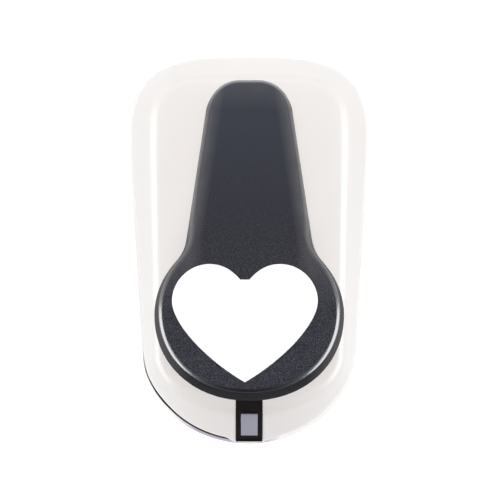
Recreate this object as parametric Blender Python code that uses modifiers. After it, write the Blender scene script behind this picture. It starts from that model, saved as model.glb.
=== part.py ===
"""Lever punch that cuts a 2 inch heart out of paper or card.

The front, with the paper throat and the lock, faces -Y, the hinge is at the rear, and +Z is up.
The origin is under the middle of the housing, on the surface that the rubber feet stand on.
The punch is modelled at rest: lever up, lock open. Lengths are metres.
"""

import math

import bmesh
import bpy
from mathutils import Matrix

MM = 0.001
TINY = 1e-9
WELD_DISTANCE = 0.001 * MM
TURN_WELD_DISTANCE = 0.01 * MM

# Gaps and overruns that several pieces share
GAP = 0.3 * MM
OVERRUN = 2.0 * MM
SEAT_OVERLAP = 0.6 * MM

# Heart that is cut, and that the inlay shows
HEART_WIDTH = 51.0 * MM
HEART_HEIGHT = 41.4 * MM
# Right half of the heart in shares of its half width and half height: Beziers from notch to tip
HEART_BEZIER_SHARES = (
    ((0.063, 0.736), (0.193, 0.925), (0.331, 1.0), (0.483, 1.0)),
    ((0.483, 1.0), (0.772, 1.0), (1.0, 0.702), (1.0, 0.377)),
    ((1.0, 0.377), (1.0, 0.0), (0.524, -0.616), (0.0, -1.0)),
)
HEART_STEPS = 9

# Places along Y: the die under the lever's head, the hinge pin, and the back of the throat
DIE_Y = -23.0 * MM
PIN_Y = 50.0 * MM
THROAT_BACK_Y = 14.0 * MM

# Round parts that grow with the heart: plunger, posts round it, plates round the posts
PLUNGER_RADIUS = HEART_WIDTH / 2
POST_BEYOND_PLUNGER = 2.5 * MM
POST_TO_PLATE_EDGE = 6.0 * MM
POST_CIRCLE = PLUNGER_RADIUS + POST_BEYOND_PLUNGER
PLATE_RADIUS = POST_CIRCLE + POST_TO_PLATE_EDGE

# Housing in plan: half widths, where the straight sides end, and how far each end reaches beyond
WALL = 2.2 * MM
PLATE_TO_WALL = 2.1 * MM
PLATE_TO_FRONT = 12.8 * MM
REAR_FLARE = 4.5 * MM
PIN_BEHIND_CENTRE = 14.0 * MM
FRONT_CENTRE_Y = -36.2 * MM
REAR_REACH = 33.8 * MM
REAR_FULLNESS = 3.0
FRONT_FULLNESS = 2.0
COVER_DRAFT = 0.5 * MM

FRONT_HALF_WIDTH = PLATE_RADIUS + PLATE_TO_WALL + WALL
REAR_HALF_WIDTH = FRONT_HALF_WIDTH + REAR_FLARE
REAR_CENTRE_Y = PIN_Y - PIN_BEHIND_CENTRE
FRONT_REACH = FRONT_CENTRE_Y - DIE_Y + PLATE_RADIUS + PLATE_TO_FRONT

# Plateau on the cover: how far each slope runs in plan
REAR_SIDE_RUN = 9.3 * MM
FRONT_SIDE_RUN = 5.5 * MM
REAR_RUN = 8.6 * MM
SLOPE_RUN = 12.2 * MM
PLATEAU_REAR_FULLNESS = 3.5

PLATEAU_REAR_HALF_WIDTH = REAR_HALF_WIDTH - REAR_SIDE_RUN
PLATEAU_FRONT_HALF_WIDTH = FRONT_HALF_WIDTH - FRONT_SIDE_RUN
PLATEAU_REAR_REACH = REAR_REACH - REAR_RUN
PLATEAU_FRONT_REACH = FRONT_REACH - COVER_DRAFT - SLOPE_RUN

# Heights of the housing
FOOT_STAND = 1.0 * MM
BASE_HEIGHT = 11.0 * MM
THROAT_GAP = 2.0 * MM
COVER_WALL_HEIGHT = 12.0 * MM
SHOULDER_RISE = 14.0 * MM
BASE_LIP = 0.6 * MM
DECK = 2.0 * MM
PLATEAU_ROUND = 1.3 * MM
BASE_ROUND = 1.0 * MM

DECK_TOP_Z = FOOT_STAND + BASE_HEIGHT
COVER_BOTTOM_Z = DECK_TOP_Z + THROAT_GAP
SHOULDER_Z = COVER_BOTTOM_Z + COVER_WALL_HEIGHT
PLATEAU_Z = SHOULDER_Z + SHOULDER_RISE
ROOF_Z = PLATEAU_Z - WALL
BASE_TOP_Z = COVER_BOTTOM_Z - GAP

# Hinge bracket and bushes
BRACKET_THICKNESS = 1.5 * MM
BRACKET_HALF_WIDTH = 9.5 * MM
BRACKET_HALF_LENGTH = 8.5 * MM
EAR_HALF_FOOT = 7.0 * MM
EAR_RADIUS = 4.4 * MM
BUSH_RADIUS = 2.8 * MM
BUSH_FLANGE_RADIUS = 3.7 * MM
BUSH_FLANGE_WIDTH = 0.8 * MM
OPENING_HALF_WIDTH = 11.2 * MM
OPENING_HALF_LENGTH = 5.3 * MM

# Die set: three plates, clamped behind the throat
TONGUE_HALF_WIDTH = 18.0 * MM
TONGUE_BEYOND_BRACKET = 2.5 * MM
DIE_TO_BRACKET = 1.5 * MM
DIE_TONGUE_END_Y = PIN_Y - BRACKET_HALF_LENGTH - DIE_TO_BRACKET
GUIDE_TONGUE_END_Y = PIN_Y + BRACKET_HALF_LENGTH + TONGUE_BEYOND_BRACKET
DIE_THICKNESS = 3.0 * MM
GUIDE_THICKNESS = 3.5 * MM
THROAT_PLATE_THICKNESS = 1.6 * MM
THROAT_PLATE_RELIEF = 1.0 * MM

DIE_BOTTOM_Z = DECK_TOP_Z - DIE_THICKNESS
THROAT_PLATE_TOP_Z = COVER_BOTTOM_Z + THROAT_PLATE_THICKNESS
GUIDE_BOTTOM_Z = THROAT_PLATE_TOP_Z + GAP
GUIDE_TOP_Z = GUIDE_BOTTOM_Z + GUIDE_THICKNESS

# Screws: head radius, head height, shank radius
SCREW_HEAD_RADIUS = 2.9 * MM
SCREW_HEAD_HEIGHT = 1.8 * MM
SCREW_RADIUS = 1.4 * MM
RECESS_RADIUS = 1.5 * MM
RECESS_WIDTH = 0.7 * MM
RECESS_DEPTH = 1.0 * MM
FRAME_SCREW_X = 12.0 * MM
FRAME_SCREW_EDGE = 6.0 * MM
BRACKET_SCREW_OFFSET = 5.5 * MM
FRAME_SCREW_TIP = 0.5 * MM
# Long screws: inside the plateau's widest, behind the throat, and ahead of the plateau's rear edge
LONG_SCREW_INSETS = (3.5 * MM, 4.5 * MM)
LONG_SCREW_BEHIND_THROAT = 7.0 * MM
LONG_SCREW_TO_REAR_EDGE = 13.2 * MM
LONG_SCREW_REACH = 10.0 * MM
SHORT_SCREW_ANGLE = math.radians(-47.1)
SHORT_SCREW_TIP = 0.8 * MM
BOSS_RADIUS = 4.2 * MM
COUNTERBORE_DEPTH = 2.2 * MM

# Bottom cover
BOTTOM_THICKNESS = 2.0 * MM
CHUTE_RELIEF = 0.8 * MM
CHUTE_WALL = 1.8 * MM
SCREW_PAD_HEIGHT = 2.0 * MM
RIB_X = 13.0 * MM
RIB_WIDTH = 1.6 * MM
FOOT_RADIUS = 4.0 * MM
FOOT_HEIGHT = 1.9 * MM
FOOT_ROUND = 0.4 * MM
FOOT_SIDE_SHARES = (0.444, 0.392)
FOOT_INSETS = (9.8 * MM, 10.8 * MM)

# Lever, in its own frame: the hinge axis is the origin and the pressed lever lies level
REST_PITCH = math.radians(8.0)
PIN_ABOVE_PLATEAU = 4.5 * MM
PIN_RADIUS = 2.0 * MM
PIN_RECESS = 0.6 * MM
TAIL_TIP_Y = 10.2 * MM
TAIL_HALF_WIDTH = 13.15 * MM
TAIL_CORNER = 10.6 * MM
HEAD_AHEAD_OF_DIE = 0.1 * MM
NECK_BEHIND_HEAD = 28.1 * MM
NECK_HALF_WIDTH = 22.05 * MM
NECK_BLEND_ANGLE = math.radians(38.0)
NECK_HANDLE_SHARE = 0.38
HEAD_SIDE_OVERHANG = 7.8 * MM
HEAD_FRONT_OVERHANG = 4.2 * MM
HEAD_FULLNESS = 2.06
HEAD_HEIGHT = 15.0 * MM
TAIL_HEIGHT = 12.5 * MM
FALL_BEHIND_HEAD = 25.1 * MM
TOP_FALL_END_Y = 8.0 * MM
SKIRT_CLEARANCE = 0.8 * MM
LEVER_WALL = 2.4 * MM
LEVER_ROOF = 2.8 * MM
HEAD_DRAFT = 1.7 * MM
TAIL_DRAFT = 0.9 * MM
HEAD_ROUND = 1.0 * MM
TAIL_ROUND_WIDTH = 2.6 * MM
TAIL_ROUND_HEIGHT = 1.6 * MM
BLEND_AHEAD_OF_NECK = 7.0 * MM
BLEND_BEHIND_NECK = 21.0 * MM
LEVER_ROUND_STEPS = 3
HUB_RADIUS = 3.4 * MM
HUB_INNER_X = 10.9 * MM
HUB_SINK = 0.8 * MM
PUSHER_HALF_WIDTH = 14.0 * MM
PUSHER_RADIUS = 1.6 * MM
LEVER_RIB_X = 6.0 * MM
LEVER_RIB_WIDTH = 1.4 * MM
LEVER_RIB_DEPTH = 3.0 * MM
LEVER_RIB_BEHIND_HEAD = 9.1 * MM
LEVER_RIB_END_Y = -9.0 * MM
INLAY_SHIFT_X = -1.5 * MM
INLAY_SHIFT_Y = -3.4 * MM
INLAY_DEPTH = 1.2 * MM
INLAY_PROUD = 0.25 * MM

HEAD_Y = DIE_Y - PIN_Y - HEAD_AHEAD_OF_DIE
HEAD_HALF_WIDTH = PLUNGER_RADIUS + HEAD_SIDE_OVERHANG
HEAD_HALF_LENGTH = PLUNGER_RADIUS + HEAD_FRONT_OVERHANG
NECK_Y = HEAD_Y + NECK_BEHIND_HEAD
TOP_FALL_START_Y = HEAD_Y + FALL_BEHIND_HEAD
LEVER_RIB_START_Y = HEAD_Y + LEVER_RIB_BEHIND_HEAD
PIN_Z = PLATEAU_Z + PIN_ABOVE_PLATEAU
SKIRT_Z = SKIRT_CLEARANCE - PIN_ABOVE_PLATEAU
PRESS_TRAVEL = -HEAD_Y * REST_PITCH

# Plunger and cutter
PLUNGER_CLEARANCE = 0.5 * MM
PLUNGER_ABOVE_PLATEAU = 11.7 * MM
PLUNGER_WALL = 2.2 * MM
PLUNGER_ROOF = 2.5 * MM
PLUNGER_ROUND = 1.5 * MM
FLANGE_MARGIN = 3.2 * MM
FLANGE_RADIUS = POST_CIRCLE + FLANGE_MARGIN
FLANGE_THICKNESS = 2.5 * MM
COLUMN_RADIUS = 3.6 * MM
COLUMN_X = 12.0 * MM
COLUMN_FORWARD = 6.0 * MM
COLUMN_BORE_DEPTH = 16.0 * MM
PLUNGER_SCREW_TIP = 3.0 * MM
CUTTER_ABOVE_THROAT = 0.6 * MM
CUTTER_HEIGHT = 11.4 * MM
CUTTER_CLEARANCE = 0.3 * MM
CUTTER_HOLLOW = 1.4 * MM
CUTTER_HOLLOW_STEPS = 8

FLANGE_TOP_Z = ROOF_Z - GAP
FLANGE_BOTTOM_Z = FLANGE_TOP_Z - FLANGE_THICKNESS
PLUNGER_TOP_Z = PLATEAU_Z + PLUNGER_ABOVE_PLATEAU
CUTTER_BOTTOM_Z = COVER_BOTTOM_Z + CUTTER_ABOVE_THROAT
CUTTER_TOP_Z = CUTTER_BOTTOM_Z + CUTTER_HEIGHT

# Guide posts and return springs
POST_RADIUS = 1.5 * MM
POST_ANGLES = (math.radians(90.0), math.radians(215.0), math.radians(325.0))
POST_HOLE_CLEARANCE = 0.4 * MM
SPRING_RADIUS = 2.6 * MM
SPRING_WIRE_RADIUS = 0.45 * MM
SPRING_TURNS = 5
SPRING_POINTS_A_TURN = 10
SPRING_POCKET_DEPTH = 1.5 * MM
SPRING_POCKET_CLEARANCE = 0.7 * MM

# Lock on the front slope
LOCK_TRAVEL = 3.0 * MM
BEZEL_HALF_WIDTH = 4.7 * MM
BEZEL_THICKNESS = 1.5 * MM
BEZEL_PROUD = 0.3 * MM
BEZEL_BEHIND_HOLE = 1.6 * MM
BEZEL_SLOPE_LENGTH = 17.2 * MM
BUTTON_HALF_WIDTH = 3.25 * MM
BUTTON_TOP = 0.1 * MM
BUTTON_LENGTH = 11.5 * MM
BUTTON_THICKNESS = 1.0 * MM
BUTTON_ROUND = 0.4 * MM
STEM_HALF_WIDTH = 1.3 * MM
STEM_LENGTH = 4.0 * MM
STEM_TOP = 5.6 * MM
LATCH_THICKNESS = 1.4 * MM
LATCH_HALF_WIDTH = 2.5 * MM
LATCH_BOTTOM = 15.5 * MM
LEDGE_THICKNESS = 1.0 * MM
LEDGE_BELOW_ROOF = 0.6 * MM
LEDGE_CLEARANCE = 0.15 * MM
CATCH_HALF_WIDTH = 2.2 * MM
CATCH_STEM = 1.5 * MM
CATCH_TO_PLUNGER = 0.7 * MM
NOSE_REACH = 1.6 * MM
NOSE_HEIGHT = 2.4 * MM
CATCH_SLOT_CLEARANCE = 0.8 * MM

BEZEL_REAR_Y = DIE_Y - PLUNGER_RADIUS - PLUNGER_CLEARANCE - BEZEL_BEHIND_HOLE
CATCH_FRONT_Y = DIE_Y - PLUNGER_RADIUS - CATCH_TO_PLUNGER - CATCH_STEM
SLOPE_TOP_Y = FRONT_CENTRE_Y - PLATEAU_FRONT_REACH
SLOPE_ANGLE = math.atan2(SHOULDER_RISE, SLOPE_RUN)

# Facets
QUARTER_STEPS = 12
ROUND_STEPS = 24
SMALL_ROUND_STEPS = 14
TURNED_STEPS = 44

WHITE = (0.86, 0.84, 0.82)
CHARCOAL = (0.045, 0.045, 0.058)
BLACK = (0.012, 0.011, 0.011)
GREY = (0.31, 0.32, 0.38)
STEEL = (0.55, 0.56, 0.58)
ZINC = (0.42, 0.43, 0.45)
RUBBER = (0.03, 0.03, 0.03)
NYLON = (0.75, 0.74, 0.70)


def clear_scene():
    for obj in list(bpy.data.objects):
        bpy.data.objects.remove(obj, do_unlink=True)


def new_collection(name):
    collection = bpy.data.collections.new(name)
    bpy.context.scene.collection.children.link(collection)
    return collection


def new_material(name, colour, roughness, metallic=0.0):
    material = bpy.data.materials.new(name)
    material.use_nodes = True
    shader = material.node_tree.nodes["Principled BSDF"]
    shader.inputs["Base Color"].default_value = (*colour, 1.0)
    shader.inputs["Roughness"].default_value = roughness
    shader.inputs["Metallic"].default_value = metallic
    return material


clear_scene()
PARTS = new_collection("heart_hole_punch")
CUTTERS = new_collection("cutters")
CUTTERS.hide_render = True

MATERIALS = {
    "white_plastic": new_material("white_plastic", WHITE, 0.25),
    "charcoal_plastic": new_material("charcoal_plastic", CHARCOAL, 0.5),
    "black_plastic": new_material("black_plastic", BLACK, 0.45),
    "grey_plastic": new_material("grey_plastic", GREY, 0.4),
    "steel": new_material("steel", STEEL, 0.3, 1.0),
    "zinc": new_material("zinc", ZINC, 0.4, 1.0),
    "rubber": new_material("rubber", RUBBER, 0.8),
    "nylon": new_material("nylon", NYLON, 0.5),
}


def finish_part(obj, name, material, parent=None):
    """Name a solid, give it its material and put it among the parts."""
    obj.name = name
    obj.data.name = name
    obj.data.materials.clear()
    obj.data.materials.append(MATERIALS[material])
    move_to(obj, PARTS)
    if parent:
        obj.parent = parent
    obj.data.shade_smooth()
    obj.data.set_sharp_from_angle(angle=math.radians(32.0))
    return obj


def move_to(obj, collection):
    for old in list(obj.users_collection):
        old.objects.unlink(obj)
    collection.objects.link(obj)


def as_helper(obj, parent=None):
    """Keep a solid that cuts or joins another one out of the render."""
    move_to(obj, CUTTERS)
    obj.hide_render = True
    obj.display_type = "WIRE"
    if parent:
        obj.parent = parent
    return obj


def combine(obj, helper, operation, parent=None):
    modifier = obj.modifiers.new(f"{operation.lower()} {helper.name}", "BOOLEAN")
    modifier.operation = operation
    modifier.object = as_helper(helper, parent)


def cut(obj, helper, parent=None):
    combine(obj, helper, "DIFFERENCE", parent)


def join(obj, helper, parent=None):
    combine(obj, helper, "UNION", parent)


def new_empty(name, location, pitch=0.0):
    empty = bpy.data.objects.new(name, None)
    empty.location = location
    empty.rotation_euler = (pitch, 0.0, 0.0)
    PARTS.objects.link(empty)
    return empty


# Outlines


def superellipse_quarter(half_width, reach, fullness, steps):
    """Points from (0, reach) to (half_width, 0)."""
    points = []
    for step in range(steps + 1):
        angle = math.pi / 2 * step / steps
        x = half_width * max(math.sin(angle), 0.0) ** (2 / fullness)
        y = reach * max(math.cos(angle), 0.0) ** (2 / fullness)
        points.append((x, y))
    return points


def closed_ring(half):
    """A whole outline from its right half, which runs from the rear to the front."""
    left = [(-x, y) for x, y in reversed(half) if x > TINY]
    return list(half) + left


def egg_half(rear_width, front_width, rear_reach, front_reach, rear_fullness):
    rear = superellipse_quarter(rear_width, rear_reach, rear_fullness, QUARTER_STEPS)
    front = superellipse_quarter(front_width, front_reach, FRONT_FULLNESS, QUARTER_STEPS)
    half = [(x, REAR_CENTRE_Y + y) for x, y in rear]
    half += [(x, FRONT_CENTRE_Y - y) for x, y in reversed(front)]
    return half


def housing_outline(inset=0.0):
    half = egg_half(
        REAR_HALF_WIDTH - inset,
        FRONT_HALF_WIDTH - inset,
        REAR_REACH - inset,
        FRONT_REACH - inset,
        REAR_FULLNESS,
    )
    return closed_ring(half)


def plateau_outline(inset=0.0):
    half = egg_half(
        PLATEAU_REAR_HALF_WIDTH - inset,
        PLATEAU_FRONT_HALF_WIDTH - inset,
        PLATEAU_REAR_REACH - inset,
        PLATEAU_FRONT_REACH - inset,
        PLATEAU_REAR_FULLNESS,
    )
    return closed_ring(half)


def bezier(p0, p1, p2, p3, steps):
    """Points after p0, up to and with p3."""
    points = []
    for step in range(1, steps + 1):
        t = step / steps
        weights = ((1 - t) ** 3, 3 * t * (1 - t) ** 2, 3 * t * t * (1 - t), t**3)
        x = sum(w * p[0] for w, p in zip(weights, (p0, p1, p2, p3)))
        y = sum(w * p[1] for w, p in zip(weights, (p0, p1, p2, p3)))
        points.append((x, y))
    return points


def heart_outline(grow=0.0, centre=(0.0, 0.0)):
    """The heart, grown outwards by a clearance, round a centre."""
    half = [HEART_BEZIER_SHARES[0][0]]
    for curve in HEART_BEZIER_SHARES:
        half += bezier(*curve, HEART_STEPS)
    half = [(x * HEART_WIDTH / 2, y * HEART_HEIGHT / 2) for x, y in half]
    ring = offset_ring(closed_ring(half), grow)
    return [(x + centre[0], y + centre[1]) for x, y in ring]


def offset_ring(ring, distance):
    """Move a clockwise ring outwards, or inwards where the distance is negative.

    The distance may be a function of a point's y.
    """
    moved = []
    count = len(ring)
    for index, (x, y) in enumerate(ring):
        before = ring[index - 1]
        after = ring[(index + 1) % count]
        first = edge_normal(before, (x, y))
        second = edge_normal((x, y), after)
        mean = (first[0] + second[0], first[1] + second[1])
        length = math.hypot(*mean)
        unit = (mean[0] / length, mean[1] / length)
        reach = distance(y) if callable(distance) else distance
        reach /= max(unit[0] * first[0] + unit[1] * first[1], 0.5)
        moved.append((x + unit[0] * reach, y + unit[1] * reach))
    return moved


def edge_normal(start, end):
    """The unit normal on the left of a clockwise edge, which is its outer side."""
    run = (end[0] - start[0], end[1] - start[1])
    length = math.hypot(*run)
    return (-run[1] / length, run[0] / length)


def circle_outline(radius, centre=(0.0, 0.0), steps=ROUND_STEPS):
    points = []
    for step in range(steps):
        angle = -2 * math.pi * step / steps
        points.append((centre[0] + radius * math.cos(angle), centre[1] + radius * math.sin(angle)))
    return points


def keyhole_outline(tongue_end, grow=0.0):
    """A round plate under the head with a straight tongue to the rear."""
    radius = PLATE_RADIUS + grow
    half_width = TONGUE_HALF_WIDTH + grow
    start = math.acos(half_width / radius)
    half = [(half_width, tongue_end + grow)]
    steps = 2 * QUARTER_STEPS
    for step in range(steps + 1):
        angle = start - (start + math.pi / 2) * step / steps
        half.append((radius * math.cos(angle), DIE_Y + radius * math.sin(angle)))
    half[-1] = (0.0, DIE_Y - radius)
    return closed_ring(half)


def lever_half():
    """Right half of the lever's outline in its own frame, from the tail tip to the front."""
    taper = math.atan2(NECK_HALF_WIDTH - TAIL_HALF_WIDTH, TAIL_TIP_Y - NECK_Y)
    normal = (math.cos(taper), math.sin(taper))
    line = TAIL_HALF_WIDTH * normal[0] + TAIL_TIP_Y * normal[1]
    corner_y = TAIL_TIP_Y - TAIL_CORNER
    corner_x = (line - TAIL_CORNER - corner_y * normal[1]) / normal[0]
    half = []
    corner_steps = QUARTER_STEPS // 2 + 1
    for step in range(corner_steps + 1):
        angle = math.pi / 2 - (math.pi / 2 - taper) * step / corner_steps
        x = corner_x + TAIL_CORNER * math.cos(angle)
        half.append((x, corner_y + TAIL_CORNER * math.sin(angle)))
    neck = (NECK_HALF_WIDTH, NECK_Y)
    shoulder = head_point(NECK_BLEND_ANGLE)
    chord = math.hypot(shoulder[0] - neck[0], shoulder[1] - neck[1])
    handle = chord * NECK_HANDLE_SHARE
    slope = (
        HEAD_HALF_WIDTH * math.sin(NECK_BLEND_ANGLE),
        HEAD_HALF_LENGTH * math.cos(NECK_BLEND_ANGLE),
    )
    length = math.hypot(*slope)
    leave = (neck[0] + handle * math.sin(taper), neck[1] - handle * math.cos(taper))
    arrive = (shoulder[0] - handle * slope[0] / length, shoulder[1] + handle * slope[1] / length)
    half.append(neck)
    half += bezier(neck, leave, arrive, shoulder, QUARTER_STEPS // 2)
    rear_steps = QUARTER_STEPS // 2
    for step in range(1, rear_steps + 1):
        half.append(head_point(NECK_BLEND_ANGLE * (1 - step / rear_steps)))
    front = superellipse_quarter(HEAD_HALF_WIDTH, HEAD_HALF_LENGTH, HEAD_FULLNESS, QUARTER_STEPS)
    half += [(x, HEAD_Y - y) for x, y in reversed(front[:-1])]
    return half


def head_point(angle):
    return (HEAD_HALF_WIDTH * math.cos(angle), HEAD_Y + HEAD_HALF_LENGTH * math.sin(angle))


def lever_top(y):
    """Height of the lever's top above its skirt: level on the head, falling to the tail."""
    t = (y - TOP_FALL_START_Y) / (TOP_FALL_END_Y - TOP_FALL_START_Y)
    t = min(max(t, 0.0), 1.0)
    smooth = t * t * (3 - 2 * t)
    return SKIRT_Z + HEAD_HEIGHT + (TAIL_HEIGHT - HEAD_HEIGHT) * smooth


def on_tail(y, head_value, tail_value):
    """A value of the lever's section, which changes smoothly from the head to the tail."""
    t = (y - NECK_Y + BLEND_AHEAD_OF_NECK) / (BLEND_AHEAD_OF_NECK + BLEND_BEHIND_NECK)
    t = min(max(t, 0.0), 1.0)
    return head_value + (tail_value - head_value) * t * t * (3 - 2 * t)


def skirt_bottom(y):
    """The skirt is cut up behind the hinge, so that the resting tail clears the plateau."""
    return SKIRT_Z + max(y, 0.0) * math.tan(REST_PITCH)


# Solids


def curve_solid(name, rings, thickness, location, rotation=(0.0, 0.0, 0.0)):
    """A flat outline, with holes where further rings lie inside the first, made a mesh."""
    curve = bpy.data.curves.new(name, "CURVE")
    curve.dimensions = "2D"
    curve.fill_mode = "BOTH"
    curve.extrude = thickness / 2 / MM
    for ring in rings:
        spline = curve.splines.new("POLY")
        spline.points.add(len(ring) - 1)
        for point, (x, y) in zip(spline.points, ring):
            point.co = (x / MM, y / MM, 0.0, 1.0)
        spline.use_cyclic_u = True
    guide = bpy.data.objects.new(name, curve)
    guide.location = location
    guide.rotation_euler = rotation
    return mesh_from_curve(guide)


def mesh_from_curve(guide):
    """Turn a curve drawn in millimetres into a mesh in metres, at the same place."""
    name = guide.name
    curve = guide.data
    bpy.context.scene.collection.objects.link(guide)
    bpy.context.view_layer.update()
    graph = bpy.context.evaluated_depsgraph_get()
    mesh = bpy.data.meshes.new_from_object(guide.evaluated_get(graph))
    mesh.transform(Matrix.Scale(MM, 4))
    shape = bmesh.new()
    shape.from_mesh(mesh)
    bmesh.ops.remove_doubles(shape, verts=shape.verts, dist=WELD_DISTANCE)
    bmesh.ops.recalc_face_normals(shape, faces=shape.faces)
    shape.to_mesh(mesh)
    shape.free()
    solid = bpy.data.objects.new(name, mesh)
    solid.matrix_world = guide.matrix_world.copy()
    bpy.data.objects.remove(guide, do_unlink=True)
    bpy.data.curves.remove(curve)
    solid.name = name
    PARTS.objects.link(solid)
    return solid


def plate(name, rings, low, high):
    """A level plate between two heights."""
    return curve_solid(name, rings, high - low, (0.0, 0.0, (low + high) / 2))


def side_profile(name, ring, half_width, x=0.0):
    """An outline in the YZ plane, as thick as twice the half width along X."""
    turn = (math.pi / 2, 0.0, math.pi / 2)
    return curve_solid(name, [ring], 2 * half_width, (x, 0.0, 0.0), turn)


def front_profile(name, ring, half_length, y):
    """An outline in the XZ plane, as thick as twice the half length along Y."""
    turn = (math.pi / 2, 0.0, 0.0)
    return curve_solid(name, [ring], 2 * half_length, (0.0, y, 0.0), turn)


def box(name, low, high):
    shape = bmesh.new()
    bmesh.ops.create_cube(shape, size=1.0)
    for vert in shape.verts:
        for axis in range(3):
            middle = (low[axis] + high[axis]) / 2
            vert.co[axis] = middle + vert.co[axis] * (high[axis] - low[axis])
    return object_from_bmesh(name, shape)


def rod(name, radius, start, end, place, axis="Z", steps=SMALL_ROUND_STEPS):
    """A cylinder between two coordinates on its axis; place holds its other two coordinates."""
    shape = bmesh.new()
    bmesh.ops.create_cone(
        shape,
        cap_ends=True,
        segments=steps,
        radius1=radius,
        radius2=radius,
        depth=end - start,
    )
    for vert in shape.verts:
        x, y, z = vert.co
        along = z + (start + end) / 2
        if axis == "Z":
            vert.co = (place[0] + x, place[1] + y, along)
        else:
            vert.co = (along, place[0] + x, place[1] + y)
    return object_from_bmesh(name, shape)


def object_from_bmesh(name, shape):
    mesh = bpy.data.meshes.new(name)
    shape.to_mesh(mesh)
    shape.free()
    obj = bpy.data.objects.new(name, mesh)
    PARTS.objects.link(obj)
    return obj


def loft(name, rings, soft=()):
    """A closed solid through mirrored rings of 3D points, bottom first.

    The edges of the soft rings are marked for a bevel.
    """
    shape = bmesh.new()
    weight = shape.edges.layers.float.new("bevel_weight_edge")
    levels = [[shape.verts.new(point) for point in ring] for ring in rings]
    count = len(rings[0])
    for lower, upper in zip(levels, levels[1:]):
        for index in range(count):
            after = (index + 1) % count
            shape.faces.new((lower[index], lower[after], upper[after], upper[index]))
    for level in (levels[0], levels[-1]):
        cap_across(shape, level)
    shape.edges.ensure_lookup_table()
    for number in soft:
        level = levels[number]
        for index in range(count):
            edge = shape.edges.get((level[index], level[(index + 1) % count]))
            edge[weight] = 1.0
    shape.normal_update()
    bmesh.ops.recalc_face_normals(shape, faces=shape.faces)
    return object_from_bmesh(name, shape)


def cap_across(shape, level):
    """Close a mirrored ring with strips from its right side to its left side."""
    left = [vert for vert in level if vert.co.x < -TINY]
    rungs = []
    for vert in level[: len(level) - len(left)]:
        partner = vert if vert.co.x < TINY else left.pop()
        rungs.append((vert, partner))
    for (right, across), (next_right, next_across) in zip(rungs, rungs[1:]):
        corners = [right, next_right]
        corners += [vert for vert in (next_across, across) if vert not in corners]
        shape.faces.new(corners)


def level_ring(outline, z):
    return [(x, y, z) for x, y in outline]


def turned(name, profile, steps=TURNED_STEPS):
    """A solid of revolution about Z. The profile runs down its outer side from top to bottom."""
    mesh = bpy.data.meshes.new(name)
    points = [(x, 0.0, z) for x, z in profile]
    mesh.from_pydata(points, [(i, i + 1) for i in range(len(points) - 1)], [])
    obj = bpy.data.objects.new(name, mesh)
    screw = obj.modifiers.new("turn", "SCREW")
    screw.steps = steps
    screw.render_steps = steps
    screw.use_merge_vertices = True
    screw.merge_threshold = TURN_WELD_DISTANCE
    PARTS.objects.link(obj)
    return obj


def soften(obj, width, segments=2):
    """Round the edges that the loft marked."""
    bevel = obj.modifiers.new("soft edges", "BEVEL")
    bevel.limit_method = "WEIGHT"
    bevel.width = width
    bevel.segments = segments
    return obj


def round_edges(obj, width, segments=2, angle=math.radians(50.0)):
    bevel = obj.modifiers.new("round edges", "BEVEL")
    bevel.limit_method = "ANGLE"
    bevel.angle_limit = angle
    bevel.width = width
    bevel.segments = segments
    return obj


def on_slope(down, depth):
    """(y, z) of a place on the front slope: so far down from its top edge and so deep in it."""
    y = SLOPE_TOP_Y - down * math.cos(SLOPE_ANGLE) + depth * math.sin(SLOPE_ANGLE)
    z = PLATEAU_Z - down * math.sin(SLOPE_ANGLE) - depth * math.cos(SLOPE_ANGLE)
    return (y, z)


def slope_local(y, z):
    """(y, z) in the lock's own frame, whose Y runs up the slope and Z out of it."""
    dy = y - SLOPE_TOP_Y
    dz = z - PLATEAU_Z
    along = dy * math.cos(SLOPE_ANGLE) + dz * math.sin(SLOPE_ANGLE)
    out = dz * math.cos(SLOPE_ANGLE) - dy * math.sin(SLOPE_ANGLE)
    return (along, out)


# Screws


def screw(name, place, head_end, tip, material="steel", parent=None):
    """A cross-recessed screw: the head ends at one height, the shank runs to the tip."""
    direction = 1.0 if tip > head_end else -1.0
    under_head = head_end + direction * SCREW_HEAD_HEIGHT
    body = rod(name, SCREW_HEAD_RADIUS, min(head_end, under_head), max(head_end, under_head), place)
    start = under_head - direction * SEAT_OVERLAP
    shank = rod(name + " shank", SCREW_RADIUS, min(start, tip), max(start, tip), place)
    join(body, shank, parent)
    floor = head_end + direction * RECESS_DEPTH
    mouth = head_end - direction * OVERRUN
    for along, across in ((RECESS_RADIUS, RECESS_WIDTH / 2), (RECESS_WIDTH / 2, RECESS_RADIUS)):
        low = (place[0] - along, place[1] - across, min(floor, mouth))
        high = (place[0] + along, place[1] + across, max(floor, mouth))
        cut(body, box(name + " recess", low, high), parent)
    return finish_part(body, name, material, parent)


def both_sides(place):
    """The same place on the right and on the left, with the word for each."""
    return (("right", place), ("left", (-place[0], place[1])))


def post_places():
    places = []
    for angle in POST_ANGLES:
        places.append((POST_CIRCLE * math.cos(angle), DIE_Y + POST_CIRCLE * math.sin(angle)))
    return places


POST_NAMES = ("rear", "front_left", "front_right")


# Housing


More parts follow.
